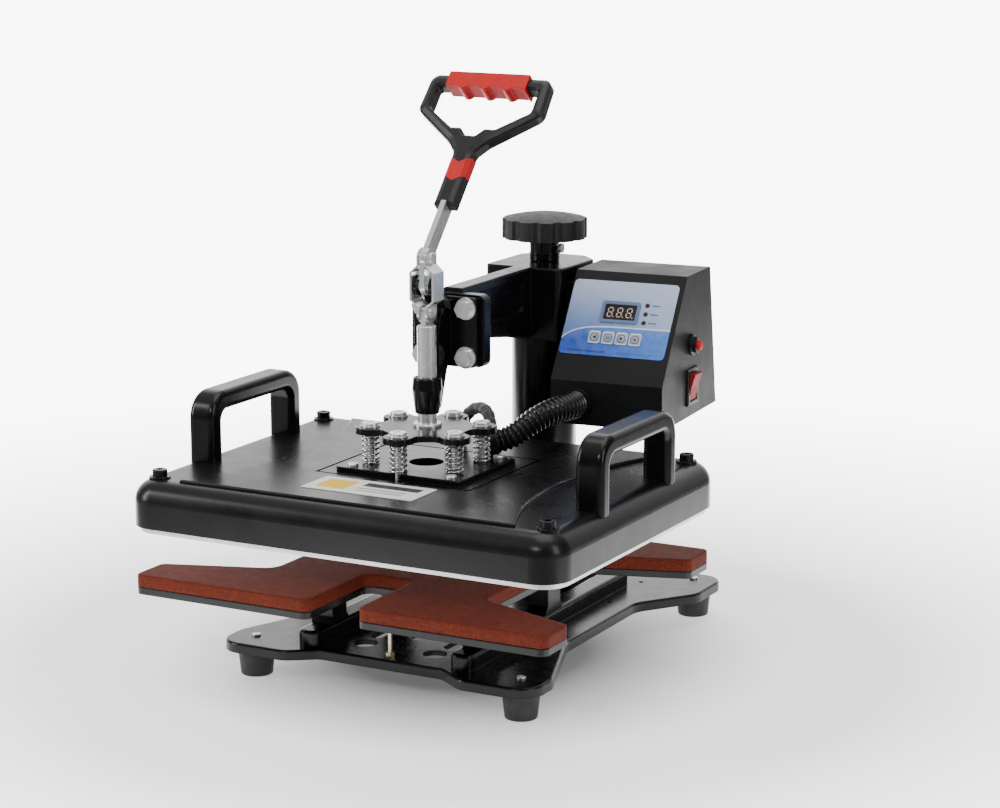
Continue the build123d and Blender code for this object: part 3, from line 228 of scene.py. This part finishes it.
def box_paint():
    """Satin dark-grey paint with a fine even grain."""
    p = Paint("box_paint", (0.016, 0.016, 0.019), 0.44, Specular_IOR_Level=0.34)
    p.link(p.mix(p.spread(p.noise(1.1, 4), 0, 1), (0.0022, 0.0022, 0.0032), (0.0065, 0.0065, 0.0080)),
           "Base Color")
    p.link(p.spread(p.noise(25), 0.40, 0.52), "Roughness")
    p.bump(p.noise(0.9, 3), 0.03)
    return p.done(0.7)


def zinc():
    """Bright zinc plate with faint warm and cool patches."""
    p = Paint("zinc", (0.93, 0.93, 0.92), 0.32, 0.8)
    p.link(p.mix(p.spread(p.noise(7), 0, 1), (0.91, 0.92, 0.93), (0.97, 0.96, 0.93)), "Base Color")
    p.link(p.spread(p.noise(4), 0.27, 0.33), "Roughness")
    p.bump(p.noise(1.6, 1), 0.001)
    return p.done(0.5)


def link_steel():
    """Plated pressed steel with soft lengthwise grain."""
    p = Paint("link_steel", (0.88, 0.89, 0.88), 0.30, 0.85)
    p.link(p.mix(p.spread(p.noise(9), 0, 1), (0.85, 0.87, 0.87), (0.92, 0.93, 0.92)), "Base Color")
    p.link(p.spread(p.noise(3, 2, (1, 1, 0.12)), 0.25, 0.31), "Roughness")
    p.bump(p.noise(2.4, 1, (1, 1, 0.05)), 0.0006)
    return p.done(0.6)


def spring_wire():
    p = Paint("spring_wire", (0.70, 0.71, 0.70), 0.18, 1.0)
    p.link(p.spread(p.noise(3), 0.12, 0.28), "Roughness")
    p.bump(p.noise(0.6), 0.008)
    return p.done()


def brass():
    p = Paint("brass", (0.72, 0.60, 0.34), 0.30, 1.0)
    p.link(p.mix(p.spread(p.noise(5), 0, 1), (0.60, 0.50, 0.30), (0.80, 0.70, 0.46)), "Base Color")
    p.link(p.spread(p.noise(2), 0.22, 0.42), "Roughness")
    return p.done(0.3)


def aluminium():
    """Milled plate: fine cutter lines and a pale oxide."""
    p = Paint("aluminium", (0.86, 0.86, 0.86), 0.38, 0.85)
    p.link(p.mix(p.spread(p.noise(12), 0, 1), (0.80, 0.80, 0.80), (0.93, 0.93, 0.92)), "Base Color")
    p.link(p.spread(p.noise(1.2, 4, (0.05, 1, 1)), 0.30, 0.46), "Roughness")
    p.bump(p.noise(0.7, 2, (0.02, 1, 1)), 0.006)
    return p.done(0.5)


def silicone():
    """Terracotta silicone sponge: smooth moulded skin on top, open cells where it was cut, with
    painted shade darkening the cells.
    """
    p = Paint("silicone", (0.19, 0.016, 0.006), 0.66, Specular_IOR_Level=0.12)
    normal = p.node("ShaderNodeNewGeometry").outputs["Normal"]
    up = p.node("ShaderNodeSeparateXYZ", {"Vector": normal}).outputs["Z"]
    cut = p.spread(p.math("ABSOLUTE", up), 1.0, 0.0, 0.3, 0.8)
    pores = p.spread(p.cells(1.3), 1.0, 0.0, 0.10, 0.42)
    pits = p.math("MULTIPLY", pores, cut)
    skin = p.mix(p.spread(p.noise(28), 0, 1), (0.125, 0.020, 0.009), (0.150, 0.024, 0.011))
    flecked = p.mix(p.spread(p.noise(1.6, 3), 0, 0.4, 0.46, 0.70), skin, (0.24, 0.044, 0.020))
    flecked = p.mix(p.spread(p.noise(1.4, 3), 0.22, 0, 0.32, 0.46), flecked, (0.05, 0.008, 0.004))
    # Painted shade: the colour darkens in the pores, where shade falls inside the open cells
    p.link(p.mix(p.math("MULTIPLY", pits, 0.75), flecked, (0.060, 0.006, 0.003)), "Base Color")
    p.link(p.spread(p.noise(6), 0.60, 0.68), "Roughness")
    p.bump(p.noise(1.4, 3), 0.04).bump(p.math("MULTIPLY", pits, -1.0), 0.35)
    return p.done()


def rubber():
    p = Paint("rubber", (0.018, 0.018, 0.020), 0.55, Specular_IOR_Level=0.4)
    p.link(p.mix(p.spread(p.noise(8), 0, 1), (0.014, 0.014, 0.016), (0.030, 0.030, 0.032)),
           "Base Color")
    p.link(p.spread(p.noise(4), 0.45, 0.62), "Roughness")
    p.bump(p.noise(1.2, 3), 0.04)
    return p.done(0.8)


def moulded(name, color, lift, rough, grain=0.7, depth=0.02, edge=0.6):
    """Moulded plastic with a fine spark-eroded grain; lift is the lighter tone of its mottle."""
    p = Paint(name, color, rough, Specular_IOR_Level=0.5)
    p.link(p.mix(p.spread(p.noise(12), 0, 1), color, lift), "Base Color")
    p.link(p.spread(p.noise(5), rough - 0.05, rough + 0.07), "Roughness")
    p.bump(p.noise(grain, 3), depth)
    return p.done(edge)


def fibre_board():
    p = Paint("fibre_board", (0.74, 0.70, 0.60), 0.9)
    p.link(p.mix(p.spread(p.noise(2, 5, (1, 1, 6)), 0, 1), (0.60, 0.56, 0.47), (0.82, 0.79, 0.70)),
           "Base Color")
    p.bump(p.noise(1.5, 5, (1, 1, 5)), 0.3)
    return p.done()


def oxide_steel():
    p = Paint("oxide_steel", (0.20, 0.17, 0.16), 0.5, 0.9)
    p.link(p.mix(p.spread(p.noise(10), 0, 1), (0.12, 0.10, 0.10), (0.30, 0.24, 0.20)), "Base Color")
    p.bump(p.noise(1.5), 0.03)
    return p.done()


def circuit_green():
    p = Paint("circuit_green", (0.02, 0.14, 0.05), 0.35)
    p.link(p.mix(p.spread(p.cells(3.0), 0, 1, 0.2, 0.5), (0.01, 0.10, 0.04), (0.03, 0.20, 0.08)),
           "Base Color")
    p.bump(p.noise(2), 0.05)
    return p.done(0.3)


def sleeve_fabric():
    """Varnished glass-fibre braid: a tight diagonal weave under a dull coat, with painted shade
    darkening the grooves between threads.
    """
    p = Paint("sleeve_fabric", (0.030, 0.030, 0.032), 0.42, Sheen_Weight=0.2)
    mapping = p.node("ShaderNodeMapping", {"Vector": p.coords, "Rotation": (0.6, 0.5, 0.8)})
    waves = p.node("ShaderNodeTexWave", {"Vector": mapping.outputs["Vector"], "Scale": 420.0,
                                         "Distortion": 1.5, "Detail": 2.0})
    # Painted shade: the colour darkens where the weave lies low
    p.link(p.mix(waves.outputs["Fac"], (0.018, 0.018, 0.020), (0.060, 0.060, 0.063)), "Base Color")
    p.bump(waves.outputs["Fac"], 0.12)
    return p.done()


def panel_film():
    """Printed film: pale blue above a white sweep, strong blue below it, a dark strip at the foot."""
    p = Paint("panel_film", (0.2, 0.4, 0.7), 0.30, Specular_IOR_Level=0.35)
    u, v = p.along(PANEL_AT, PANEL_RIGHT), p.along(PANEL_AT, PANEL_DOWN)
    decay = p.math("POWER", math.e, p.math("MULTIPLY", u, -1 / 11.0))
    sweep = p.math("MULTIPLY_ADD", decay, 14.0, 51.0)
    below = p.math("SUBTRACT", v, sweep)
    upper = p.mix(p.spread(v, 0, 1, 6, 52), (0.56, 0.64, 0.80), (0.15, 0.30, 0.66))
    upper = p.mix(p.spread(u, 0.0, 0.75, 30, 96), upper, (0.56, 0.68, 0.90))
    lower = p.mix(p.spread(u, 0, 1, 10, 95), (0.020, 0.105, 0.62), (0.075, 0.26, 0.86))
    lower = p.mix(p.spread(v, 0.6, 0.0, 52, 66), lower, (0.16, 0.33, 0.74))
    face = p.mix(p.within(below, 0.0, 200.0, 0.3), upper, lower)
    face = p.mix(p.within(below, -0.7, 0.6, 0.2), face, (0.92, 0.95, 1.0))
    bar = p.patch(u, v, (8, 42, 73.6, 75.4))
    face = p.mix(p.math("MULTIPLY", bar, 0.8), face, (0.012, 0.04, 0.24))
    rule = p.math("MULTIPLY", p.patch(u, v, (47, 88, 73.8, 75.2)),
                  p.within(p.math("PINGPONG", u, 1.6), 0.5, 3.0, 0.1))
    face = p.mix(p.math("MULTIPLY", rule, 0.45), face, (0.012, 0.04, 0.24))
    for down in (29.5, 37.5, 45.5):
        face = p.mix(p.patch(u, v, (74, 81, down - 0.6, down + 0.6)), face, (0.05, 0.12, 0.35))
    p.link(p.mix(p.spread(p.noise(6), 0, 0.08), face, (0.9, 0.9, 0.95)), "Base Color")
    p.link(p.spread(p.noise(10), 0.25, 0.36), "Roughness")
    p.bump(p.noise(1.4), 0.006)
    return p.done(0.3)


def key_face(number):
    """A pale key under the film: light border, thin ring and its own sign."""
    p = Paint(f"key_face_{number}", (0.4, 0.5, 0.65), 0.4)
    centre = PANEL_AT + PANEL_RIGHT * KEYS_X[number - 1] * MM + PANEL_DOWN * KEYS_DOWN * MM
    u, v = p.along(centre, PANEL_RIGHT), p.along(centre, PANEL_DOWN)
    across, down = p.math("ABSOLUTE", u), p.math("ABSOLUTE", v)
    edge = p.math("MAXIMUM", across, down)
    radius = p.math("SQRT", p.math("ADD", p.math("MULTIPLY", u, u), p.math("MULTIPLY", v, v)))
    fill = p.mix(p.spread(v, 0, 1, -5, 5), (0.52, 0.56, 0.62), (0.34, 0.40, 0.50))
    fill = p.mix(p.within(edge, 4.5, 9.0, 0.1), fill, (0.94, 0.96, 1.0))
    ink = p.within(radius, 3.1, 3.7, 0.1)
    if number in (1, 3):
        tip = p.math("MULTIPLY", u, 1.0 if number == 1 else -1.0)
        sign = p.math("MULTIPLY", p.within(tip, -1.7, 1.4, 0.1),
                      p.within(p.math("MULTIPLY_ADD", tip, -0.6, down), -9.0, 1.0, 0.1))
    elif number == 2:
        sign = p.math("MULTIPLY", p.within(across, -1.0, 1.9, 0.1), p.within(down, 0.4, 1.1, 0.1))
    else:
        sign = p.math("MAXIMUM", p.math("MULTIPLY", p.within(across, -1.0, 1.9, 0.1),
                                        p.within(down, -1.0, 0.4, 0.1)),
                      p.math("MULTIPLY", p.within(down, -1.0, 1.9, 0.1),
                             p.within(across, -1.0, 0.4, 0.1)))
    ink = p.math("MAXIMUM", ink, sign)
    p.link(p.mix(ink, fill, (0.015, 0.02, 0.05)), "Base Color")
    p.link(p.spread(p.noise(5), 0.34, 0.46), "Roughness")
    return p.done(0.5)


def display_glass():
    """Dark tinted window in a blue frame."""
    p = Paint("display_glass", (0.03, 0.01, 0.01), 0.16, Specular_IOR_Level=0.5)
    lift = p.along(PANEL_AT, PANEL_OUT)
    glass = p.mix(p.spread(p.noise(9), 0, 1), (0.022, 0.008, 0.009), (0.034, 0.012, 0.012))
    p.link(p.mix(p.within(lift, 0.62, 9.0, 0.04), glass, (0.16, 0.24, 0.42)), "Base Color")
    return p.done(0.2)


def name_plate():
    """White printed plate with a yellow block, a dark block and two plain rules."""
    p = Paint("name_plate", (0.85, 0.85, 0.82), 0.55, Specular_IOR_Level=0.15)
    low, high = node_box(NODES["rating_plate"])
    u = p.along(Vector((low.x, low.y, low.z)), Vector((1, 0, 0)))
    v = p.along(Vector((low.x, high.y, low.z)), Vector((0, -1, 0)))
    wide, tall = (high.x - low.x) / MM, (high.y - low.y) / MM
    face = p.mix(p.spread(p.noise(20), 0, 1), (0.80, 0.80, 0.77), (0.90, 0.90, 0.87))
    face = p.mix(p.patch(u, v, (wide * 0.08, wide * 0.34, tall * 0.18, tall * 0.82)), face,
                 (0.90, 0.56, 0.004))
    face = p.mix(p.patch(u, v, (wide * 0.42, wide * 0.92, tall * 0.16, tall * 0.42)), face,
                 (0.05, 0.05, 0.055))
    for share in (0.56, 0.72):
        face = p.mix(p.patch(u, v, (wide * 0.42, wide * 0.86, tall * share, tall * (share + 0.07))),
                     face, (0.35, 0.36, 0.37))
    p.link(face, "Base Color")
    p.bump(p.noise(3), 0.01)
    return p.done(0.2)


# ---------------------------------------------------------------- carried-over CAD nodes
def dress(material, *names):
    """Gives CAD nodes a material in place of the imported one."""
    for name in names:
        slots = NODES[name].material_slots
        if not slots:
            NODES[name].data.materials.append(material)
        for slot in slots:
            slot.material = material


def dress_all():
    gloss, cast = enamel(), cast_enamel()
    plated, steel = zinc(), link_steel()
    black = moulded("handle_plastic", (0.005, 0.005, 0.006), (0.010, 0.010, 0.011), 0.36)
    red = moulded("red_plastic", (0.62, 0.0002, 0.0015), (0.70, 0.0004, 0.0025), 0.50)
    paddle = moulded("paddle_red", (0.30, 0.004, 0.004), (0.36, 0.006, 0.006), 0.60)
    trim = moulded("black_trim", (0.003, 0.003, 0.004), (0.007, 0.007, 0.008), 0.33)
    knob = moulded("knob_plastic", (0.008, 0.008, 0.008), (0.018, 0.018, 0.0175), 0.50, 0.9, 0.05)
    dress(cast, "base_frame", "swing_arm")
    dress(gloss, "column", "platen_posts", "lower_plate", "side_handles", "swivel_bush",
          "box_bracket", "mount_plate", "pressure_plate", "clamp_bracket", "knob_collar",
          "cover_bolts")
    dress(powder_coat(), "platen_cover")
    dress(box_paint(), "box_shell", "box_back")
    dress(plated, "foot_screws", "column_bolts", "post_studs", "mount_screws", "spring_bolts",
          "clamp_bolts", "handle_screws", "rod_collar", "set_screw", "pivot_pin", "upper_rivet")
    dress(steel, "lever_bar", "toggle_links", "plunger_rod", "pressure_screw")
    dress(brass(), "guide_stud")
    dress(aluminium(), "heating_plate")
    dress(fibre_board(), "insulation_sheet")
    dress(oxide_steel(), "heating_element")
    dress(rubber(), "rubber_feet")
    dress(black, "handle_frame")
    dress(red, "handle_grip", "handle_band", "reset_button")
    dress(paddle, "rocker_paddle")
    dress(knob, "hand_knob")
    dress(trim, "switch_frame", "power_inlet", "button_bezel", "conduit_gland", "conduit_socket")
    dress(circuit_green(), "circuit_board")
    dress(panel_film(), "control_overlay")
    dress(name_plate(), "rating_plate")
    dress(display_glass(), "display_window")
    dress(moulded("led_lens", (0.040, 0.006, 0.006), (0.060, 0.009, 0.009), 0.3), "indicator_leds")
    for number in range(1, 5):
        dress(key_face(number), f"panel_key_{number}")


# ---------------------------------------------------------------- new pieces
def new_piece(name, mesh, material, body, slot, *nodes):
    """A smooth-shaded piece that rides on a body in place of CAD nodes."""
    mesh.materials.clear()
    mesh.materials.append(material)
    for polygon in mesh.polygons:
        polygon.use_smooth = True
    piece = bpy.data.objects.new(name, mesh)
    bpy.context.scene.collection.objects.link(piece)
    if body:
        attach(piece, body)
    if nodes:
        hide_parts(*nodes)
    return piece


def add_tube(mesh, line, radii, sides):
    """Adds a closed tube along a line of points; its section turns with the line, untwisted."""
    ahead = (line[1] - line[0]).normalized()
    across = ahead.orthogonal().normalized()
    rings = []
    for i, point in enumerate(line):
        ahead = (line[min(i + 1, len(line) - 1)] - line[max(i - 1, 0)]).normalized()
        across = (across - ahead * across.dot(ahead)).normalized()
        upright = ahead.cross(across)
        rings.append([mesh.verts.new(point + (across * math.cos(a) + upright * math.sin(a)) * radii[i])
                      for a in (2 * math.pi * k / sides for k in range(sides))])
    for low, high in zip(rings, rings[1:]):
        for k in range(sides):
            mesh.faces.new((low[k], low[(k + 1) % sides], high[(k + 1) % sides], high[k]))
    mesh.faces.new(list(reversed(rings[0])))
    mesh.faces.new(rings[-1])


def made_mesh(name, build):
    built = bmesh.new()
    build(built)
    mesh = bpy.data.meshes.new(name)
    built.to_mesh(mesh)
    built.free()
    return mesh


def smooth_line(points, count):
    """A clamped quadratic spline that has the given points as its control points."""
    spans = len(points) - 2
    knots = [0, 0] + list(range(spans + 1)) + [spans, spans]
    line = []
    for step in range(count):
        t = min(spans * step / (count - 1), spans - 1e-9)
        k = int(t) + 2
        near = [points[k - 2 + j] for j in range(3)]
        for level in (1, 2):
            for j in range(2, level - 1, -1):
                low = knots[k - 2 + j]
                share = (t - low) / (knots[k - 1 + j + 2 - level] - low)
                near[j] = near[j - 1] * (1 - share) + near[j] * share
        line.append(near[2])
    return line


def spring_line(x, y):
    """Centre line of one compression spring with closed, flat ends."""
    steps = 26
    low, high = SPRING_Z[0] + WIRE_R, SPRING_Z[1] - WIRE_R
    closed = 2 * WIRE_R
    pitch = (high - low - 2 * closed) / (COIL_TURNS - 2)
    line = []
    for i in range(int(COIL_TURNS * steps) + 1):
        turn = i / steps
        z = low + closed * min(turn, 1) + pitch * min(max(turn - 1, 0), COIL_TURNS - 2)
        z += closed * max(turn - COIL_TURNS + 1, 0)
        angle = 2 * math.pi * turn + math.radians(40) + 0.7 * x
        line.append(feet(x + COIL_R * math.cos(angle), y + COIL_R * math.sin(angle), z))
    return line


def springs():
    """Six wire springs, riding on the plunger."""
    def build(mesh):
        for i in range(SPRING_COUNT):
            a = math.radians(30 + 60 * i)
            line = spring_line(SPRING_CIRCLE_R * math.cos(a), PLATEN_Y + SPRING_CIRCLE_R * math.sin(a))
            add_tube(mesh, line, [WIRE_R * MM] * len(line), 10)

    piece = new_piece("coil_springs", made_mesh("coil_springs", build), spring_wire(), "plunger",
                      "spring_steel", "pressure_springs")
    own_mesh(piece)


def conduit():
    """Corrugated hose, its rings standing proud of a narrower wall."""
    knee = CONDUIT_MOUTH + CONDUIT_OUT * 10
    points = [feet(*p) for p in (CONDUIT_MOUTH + CONDUIT_OUT * 0.2, knee, *CONDUIT_ROUTE)]
    line = smooth_line(points, 330)
    run, radii = 0.0, []
    for i, point in enumerate(line):
        run += (point - line[i - 1]).length / MM if i else 0.0
        share = i / (len(line) - 1)
        crest = 0.5 + 0.5 * math.cos(2 * math.pi * run / CONDUIT_RING_PITCH)
        radii.append((11.3 - 1.5 * share - 1.7 * (1 - crest ** 0.6)) * MM)
    mesh = made_mesh("corrugated_conduit", lambda m: add_tube(m, line, radii, 40))
    hose = moulded("hose_plastic", (0.006, 0.006, 0.007), (0.012, 0.012, 0.013), 0.24, 2.0, 0.01, 0)
    piece = new_piece("corrugated_conduit", mesh, hose, None, "conduit_plastic", "flexible_conduit")
    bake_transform(piece)


def sleeve():
    """Braided sleeve, slightly uneven where its wires lie."""
    line = smooth_line([feet(*p) for p in SLEEVE_ROUTE], 90)
    radii = [(4.9 + 0.22 * math.sin(i * 0.55) + 0.15 * math.sin(i * 1.31)) * MM
             for i in range(len(line))]
    mesh = made_mesh("braided_sleeve", lambda m: add_tube(m, line, radii, 24))
    new_piece("braided_sleeve", mesh, sleeve_fabric(), "platen", "sleeve_glass", "wire_sleeve")


def pad():
    """Silicone sponge pad with softened edges and a faintly uneven skin."""
    node = NODES["silicone_pad"]
    rough = node.copy()
    rough.data = node.data.copy()
    rough.parent = None
    rough.matrix_world = node.matrix_world.copy()
    bpy.context.scene.collection.objects.link(rough)
    bevel = rough.modifiers.new("edge", "BEVEL")
    bevel.width, bevel.segments, bevel.angle_limit = 1.1 * MM, 3, math.radians(40)
    remesh = rough.modifiers.new("skin", "REMESH")
    remesh.mode, remesh.voxel_size = "VOXEL", 1.6 * MM
    clouds = bpy.data.textures.new("pad_clouds", "CLOUDS")
    clouds.noise_scale = 0.012
    ripple = rough.modifiers.new("ripple", "DISPLACE")
    ripple.texture, ripple.strength, ripple.mid_level = clouds, 0.04 * MM, 0.75
    ripple.texture_coords = "GLOBAL"
    bpy.context.view_layer.update()
    mesh = bpy.data.meshes.new_from_object(
        rough.evaluated_get(bpy.context.evaluated_depsgraph_get()))
    mesh.transform(rough.matrix_world)
    bpy.data.objects.remove(rough)
    piece = new_piece("sponge_pad", mesh, silicone(), "base", "pad_silicone", "silicone_pad")


def digits():
    """Three unlit seven-segment figures with their points, just above the display."""
    long, thick = 4.1, 0.85
    places = ((0, -4.1, False), (0, 0, False), (0, 4.1, False),
              (-2.05, -2.05, True), (2.05, -2.05, True), (-2.05, 2.05, True), (2.05, 2.05, True))

    def bar(mesh, u, v, half_u, half_v):
        """Adds a thin box lying on the panel, at u to the right and v downhill."""
        corners = []
        for lift in (0.52, 0.62):
            corners.append([mesh.verts.new(PANEL_AT + (PANEL_RIGHT * (u + a * half_u)
                                                       + PANEL_DOWN * (v + b * half_v)
                                                       + PANEL_OUT * lift) * MM)
                            for a, b in ((-1, -1), (1, -1), (1, 1), (-1, 1))])
        low, high = corners
        mesh.faces.new(list(reversed(low)))
        mesh.faces.new(high)
        for k in range(4):
            mesh.faces.new((low[k], low[(k + 1) % 4], high[(k + 1) % 4], high[k]))

    def build(mesh):
        for column in (-1, 0, 1):
            middle = DISPLAY_X + DIGIT_PITCH * column
            for du, dv, upright in places:
                halves = (thick / 2, (long - thick - 0.3) / 2)
                bar(mesh, middle + du - dv * 0.09, DISPLAY_DOWN + dv,
                    *(halves if upright else reversed(halves)))
            bar(mesh, middle + 3.3, DISPLAY_DOWN + 4.2, 0.45, 0.45)

    segment = moulded("segment", (0.62, 0.56, 0.48), (0.70, 0.64, 0.56), 0.45, 0.7, 0.002, 0)
    piece = new_piece("display_digits", made_mesh("display_digits", build), segment, "arm",
                      "display_dark")
    for polygon in piece.data.polygons:
        polygon.use_smooth = False


# ---------------------------------------------------------------- stage, light and camera
FLOOR_HALF = 9.0
VIEW_AZIMUTH = math.radians(28.14)
AWAY = Vector((-math.sin(VIEW_AZIMUTH), math.cos(VIEW_AZIMUTH), 0.0))


def stage():
    """White floor, glowing at a distance behind the machine and quieter under and before it; its
    colour carries a painted shadow under the machine and painted shade before it.
    """
    floor_mesh = bpy.data.meshes.new("floor")
    corners = [(a * FLOOR_HALF, b * FLOOR_HALF, 0) for a, b in ((-1, -1), (1, -1), (1, 1), (-1, 1))]
    floor_mesh.from_pydata(corners, [], [(0, 1, 2, 3)])
    floor = bpy.data.objects.new("floor", floor_mesh)
    bpy.context.scene.collection.objects.link(floor)
    p = Paint("floor", (0.86, 0.86, 0.86), 0.6, Specular_IOR_Level=0.1)
    far = p.node("ShaderNodeVectorMath", {0: p.coords}, operation="LENGTH").outputs["Value"]
    depth = p.along(Vector((0, 0, 0)), AWAY)
    side = p.math("ABSOLUTE", p.along(Vector((0, 0, 0)), AWAY.cross(Vector((0, 0, 1)))))
    # White where the view falls: behind a line before the machine, and between its two sides;
    # elsewhere a dim grey floor is painted shade
    paper_and_painted_shade = p.math("MULTIPLY", p.spread(depth, 0.0, 1.0, -560, -440),
                   p.spread(p.math("MULTIPLY_ADD", depth, -0.19, side), 1.0, 0.0, 480, 700))
    white = p.mix(p.spread(p.noise(400), 0, 1), (0.84, 0.84, 0.84), (0.88, 0.88, 0.88))
    # Painted contact shadow: the floor turns grey and stops glowing within about a quarter metre of
    # the machine's centre
    paper_and_painted_shade = p.math("MULTIPLY", paper_and_painted_shade, p.spread(far, 0.12, 1.0, 0.10, 0.26))
    p.link(p.mix(paper_and_painted_shade, (0.32, 0.32, 0.32), white), "Base Color")
    p.link(p.math("MULTIPLY", p.spread(far, 1.1, 8.0, 0.36, 1.1), paper_and_painted_shade), "Emission Strength")
    p.put("Emission Color", (1.0, 1.0, 1.0, 1.0))
    floor_mesh.materials.append(p.done())


def area_light(name, at, towards, size, power):
    data = bpy.data.lights.new(name, "AREA")
    data.shape = "RECTANGLE"
    data.size, data.size_y = size
    data.energy = power
    light = bpy.data.objects.new(name, data)
    light.location = at
    light.rotation_euler = (Vector(towards) - Vector(at)).to_track_quat("-Z", "Y").to_euler()
    bpy.context.scene.collection.objects.link(light)


def lights():
    """A studio that is bright overhead and behind the machine and dim in front of it."""
    world = bpy.data.worlds.new("studio")
    bpy.context.scene.world = world
    world.use_nodes = True
    tree = world.node_tree
    way = tree.nodes.new("ShaderNodeTexCoord").outputs["Generated"]

    def facing(direction, low, high, dim, bright):
        """Brightness that rises as the way out of the scene turns towards a direction."""
        dot = tree.nodes.new("ShaderNodeVectorMath")
        dot.operation = "DOT_PRODUCT"
        tree.links.new(way, dot.inputs[0])
        dot.inputs[1].default_value = tuple(direction)
        made = tree.nodes.new("ShaderNodeMapRange")
        made.interpolation_type = "SMOOTHSTEP"
        tree.links.new(dot.outputs["Value"], made.inputs["Value"])
        for key, value in (("From Min", low), ("From Max", high), ("To Min", dim), ("To Max", bright)):
            made.inputs[key].default_value = value
        return made.outputs["Result"]

    brightest = tree.nodes.new("ShaderNodeMath")
    brightest.operation = "MAXIMUM"
    tree.links.new(facing(AWAY, 0.4, 0.97, 0.10, 2.1), brightest.inputs[0])
    tree.links.new(facing((0, 0, 1), 0.45, 0.98, 0.10, 0.8), brightest.inputs[1])
    background = tree.nodes["Background"]
    background.inputs["Color"].default_value = (1.0, 1.0, 1.0, 1.0)
    tree.links.new(brightest.outputs[0], background.inputs["Strength"])
    middle = (0, -0.02, 0.2)
    area_light("top_box", (0.1, 0.1, 1.9), middle, (1.6, 1.2), 12)
    area_light("left_box", (-1.5, -1.1, 0.9), middle, (0.45, 1.3), 19)
    area_light("right_box", (1.9, -0.5, 0.9), middle, (0.35, 1.2), 9)
    area_light("front_box", (0.1, -2.2, 1.5), middle, (0.9, 0.25), 12)


def camera():
    """Looks from the operator's front right, slightly from above, through a long lens."""
    elevation, distance = math.radians(11.99), 2.329
    target = Vector((-0.0011, 0.0638, 0.2))
    back = Vector((0, 0, math.sin(elevation))) - AWAY * math.cos(elevation)
    data = bpy.data.cameras.new("camera")
    data.sensor_width = 36.0
    data.lens = 99.36
    made = bpy.data.objects.new("camera", data)
    made.location = target + back * distance
    made.rotation_euler = back.to_track_quat("Z", "Y").to_euler()
    bpy.context.scene.collection.objects.link(made)
    bpy.context.scene.camera = made


dress_all()
springs()
conduit()
sleeve()
pad()
digits()
stage()
lights()
camera()
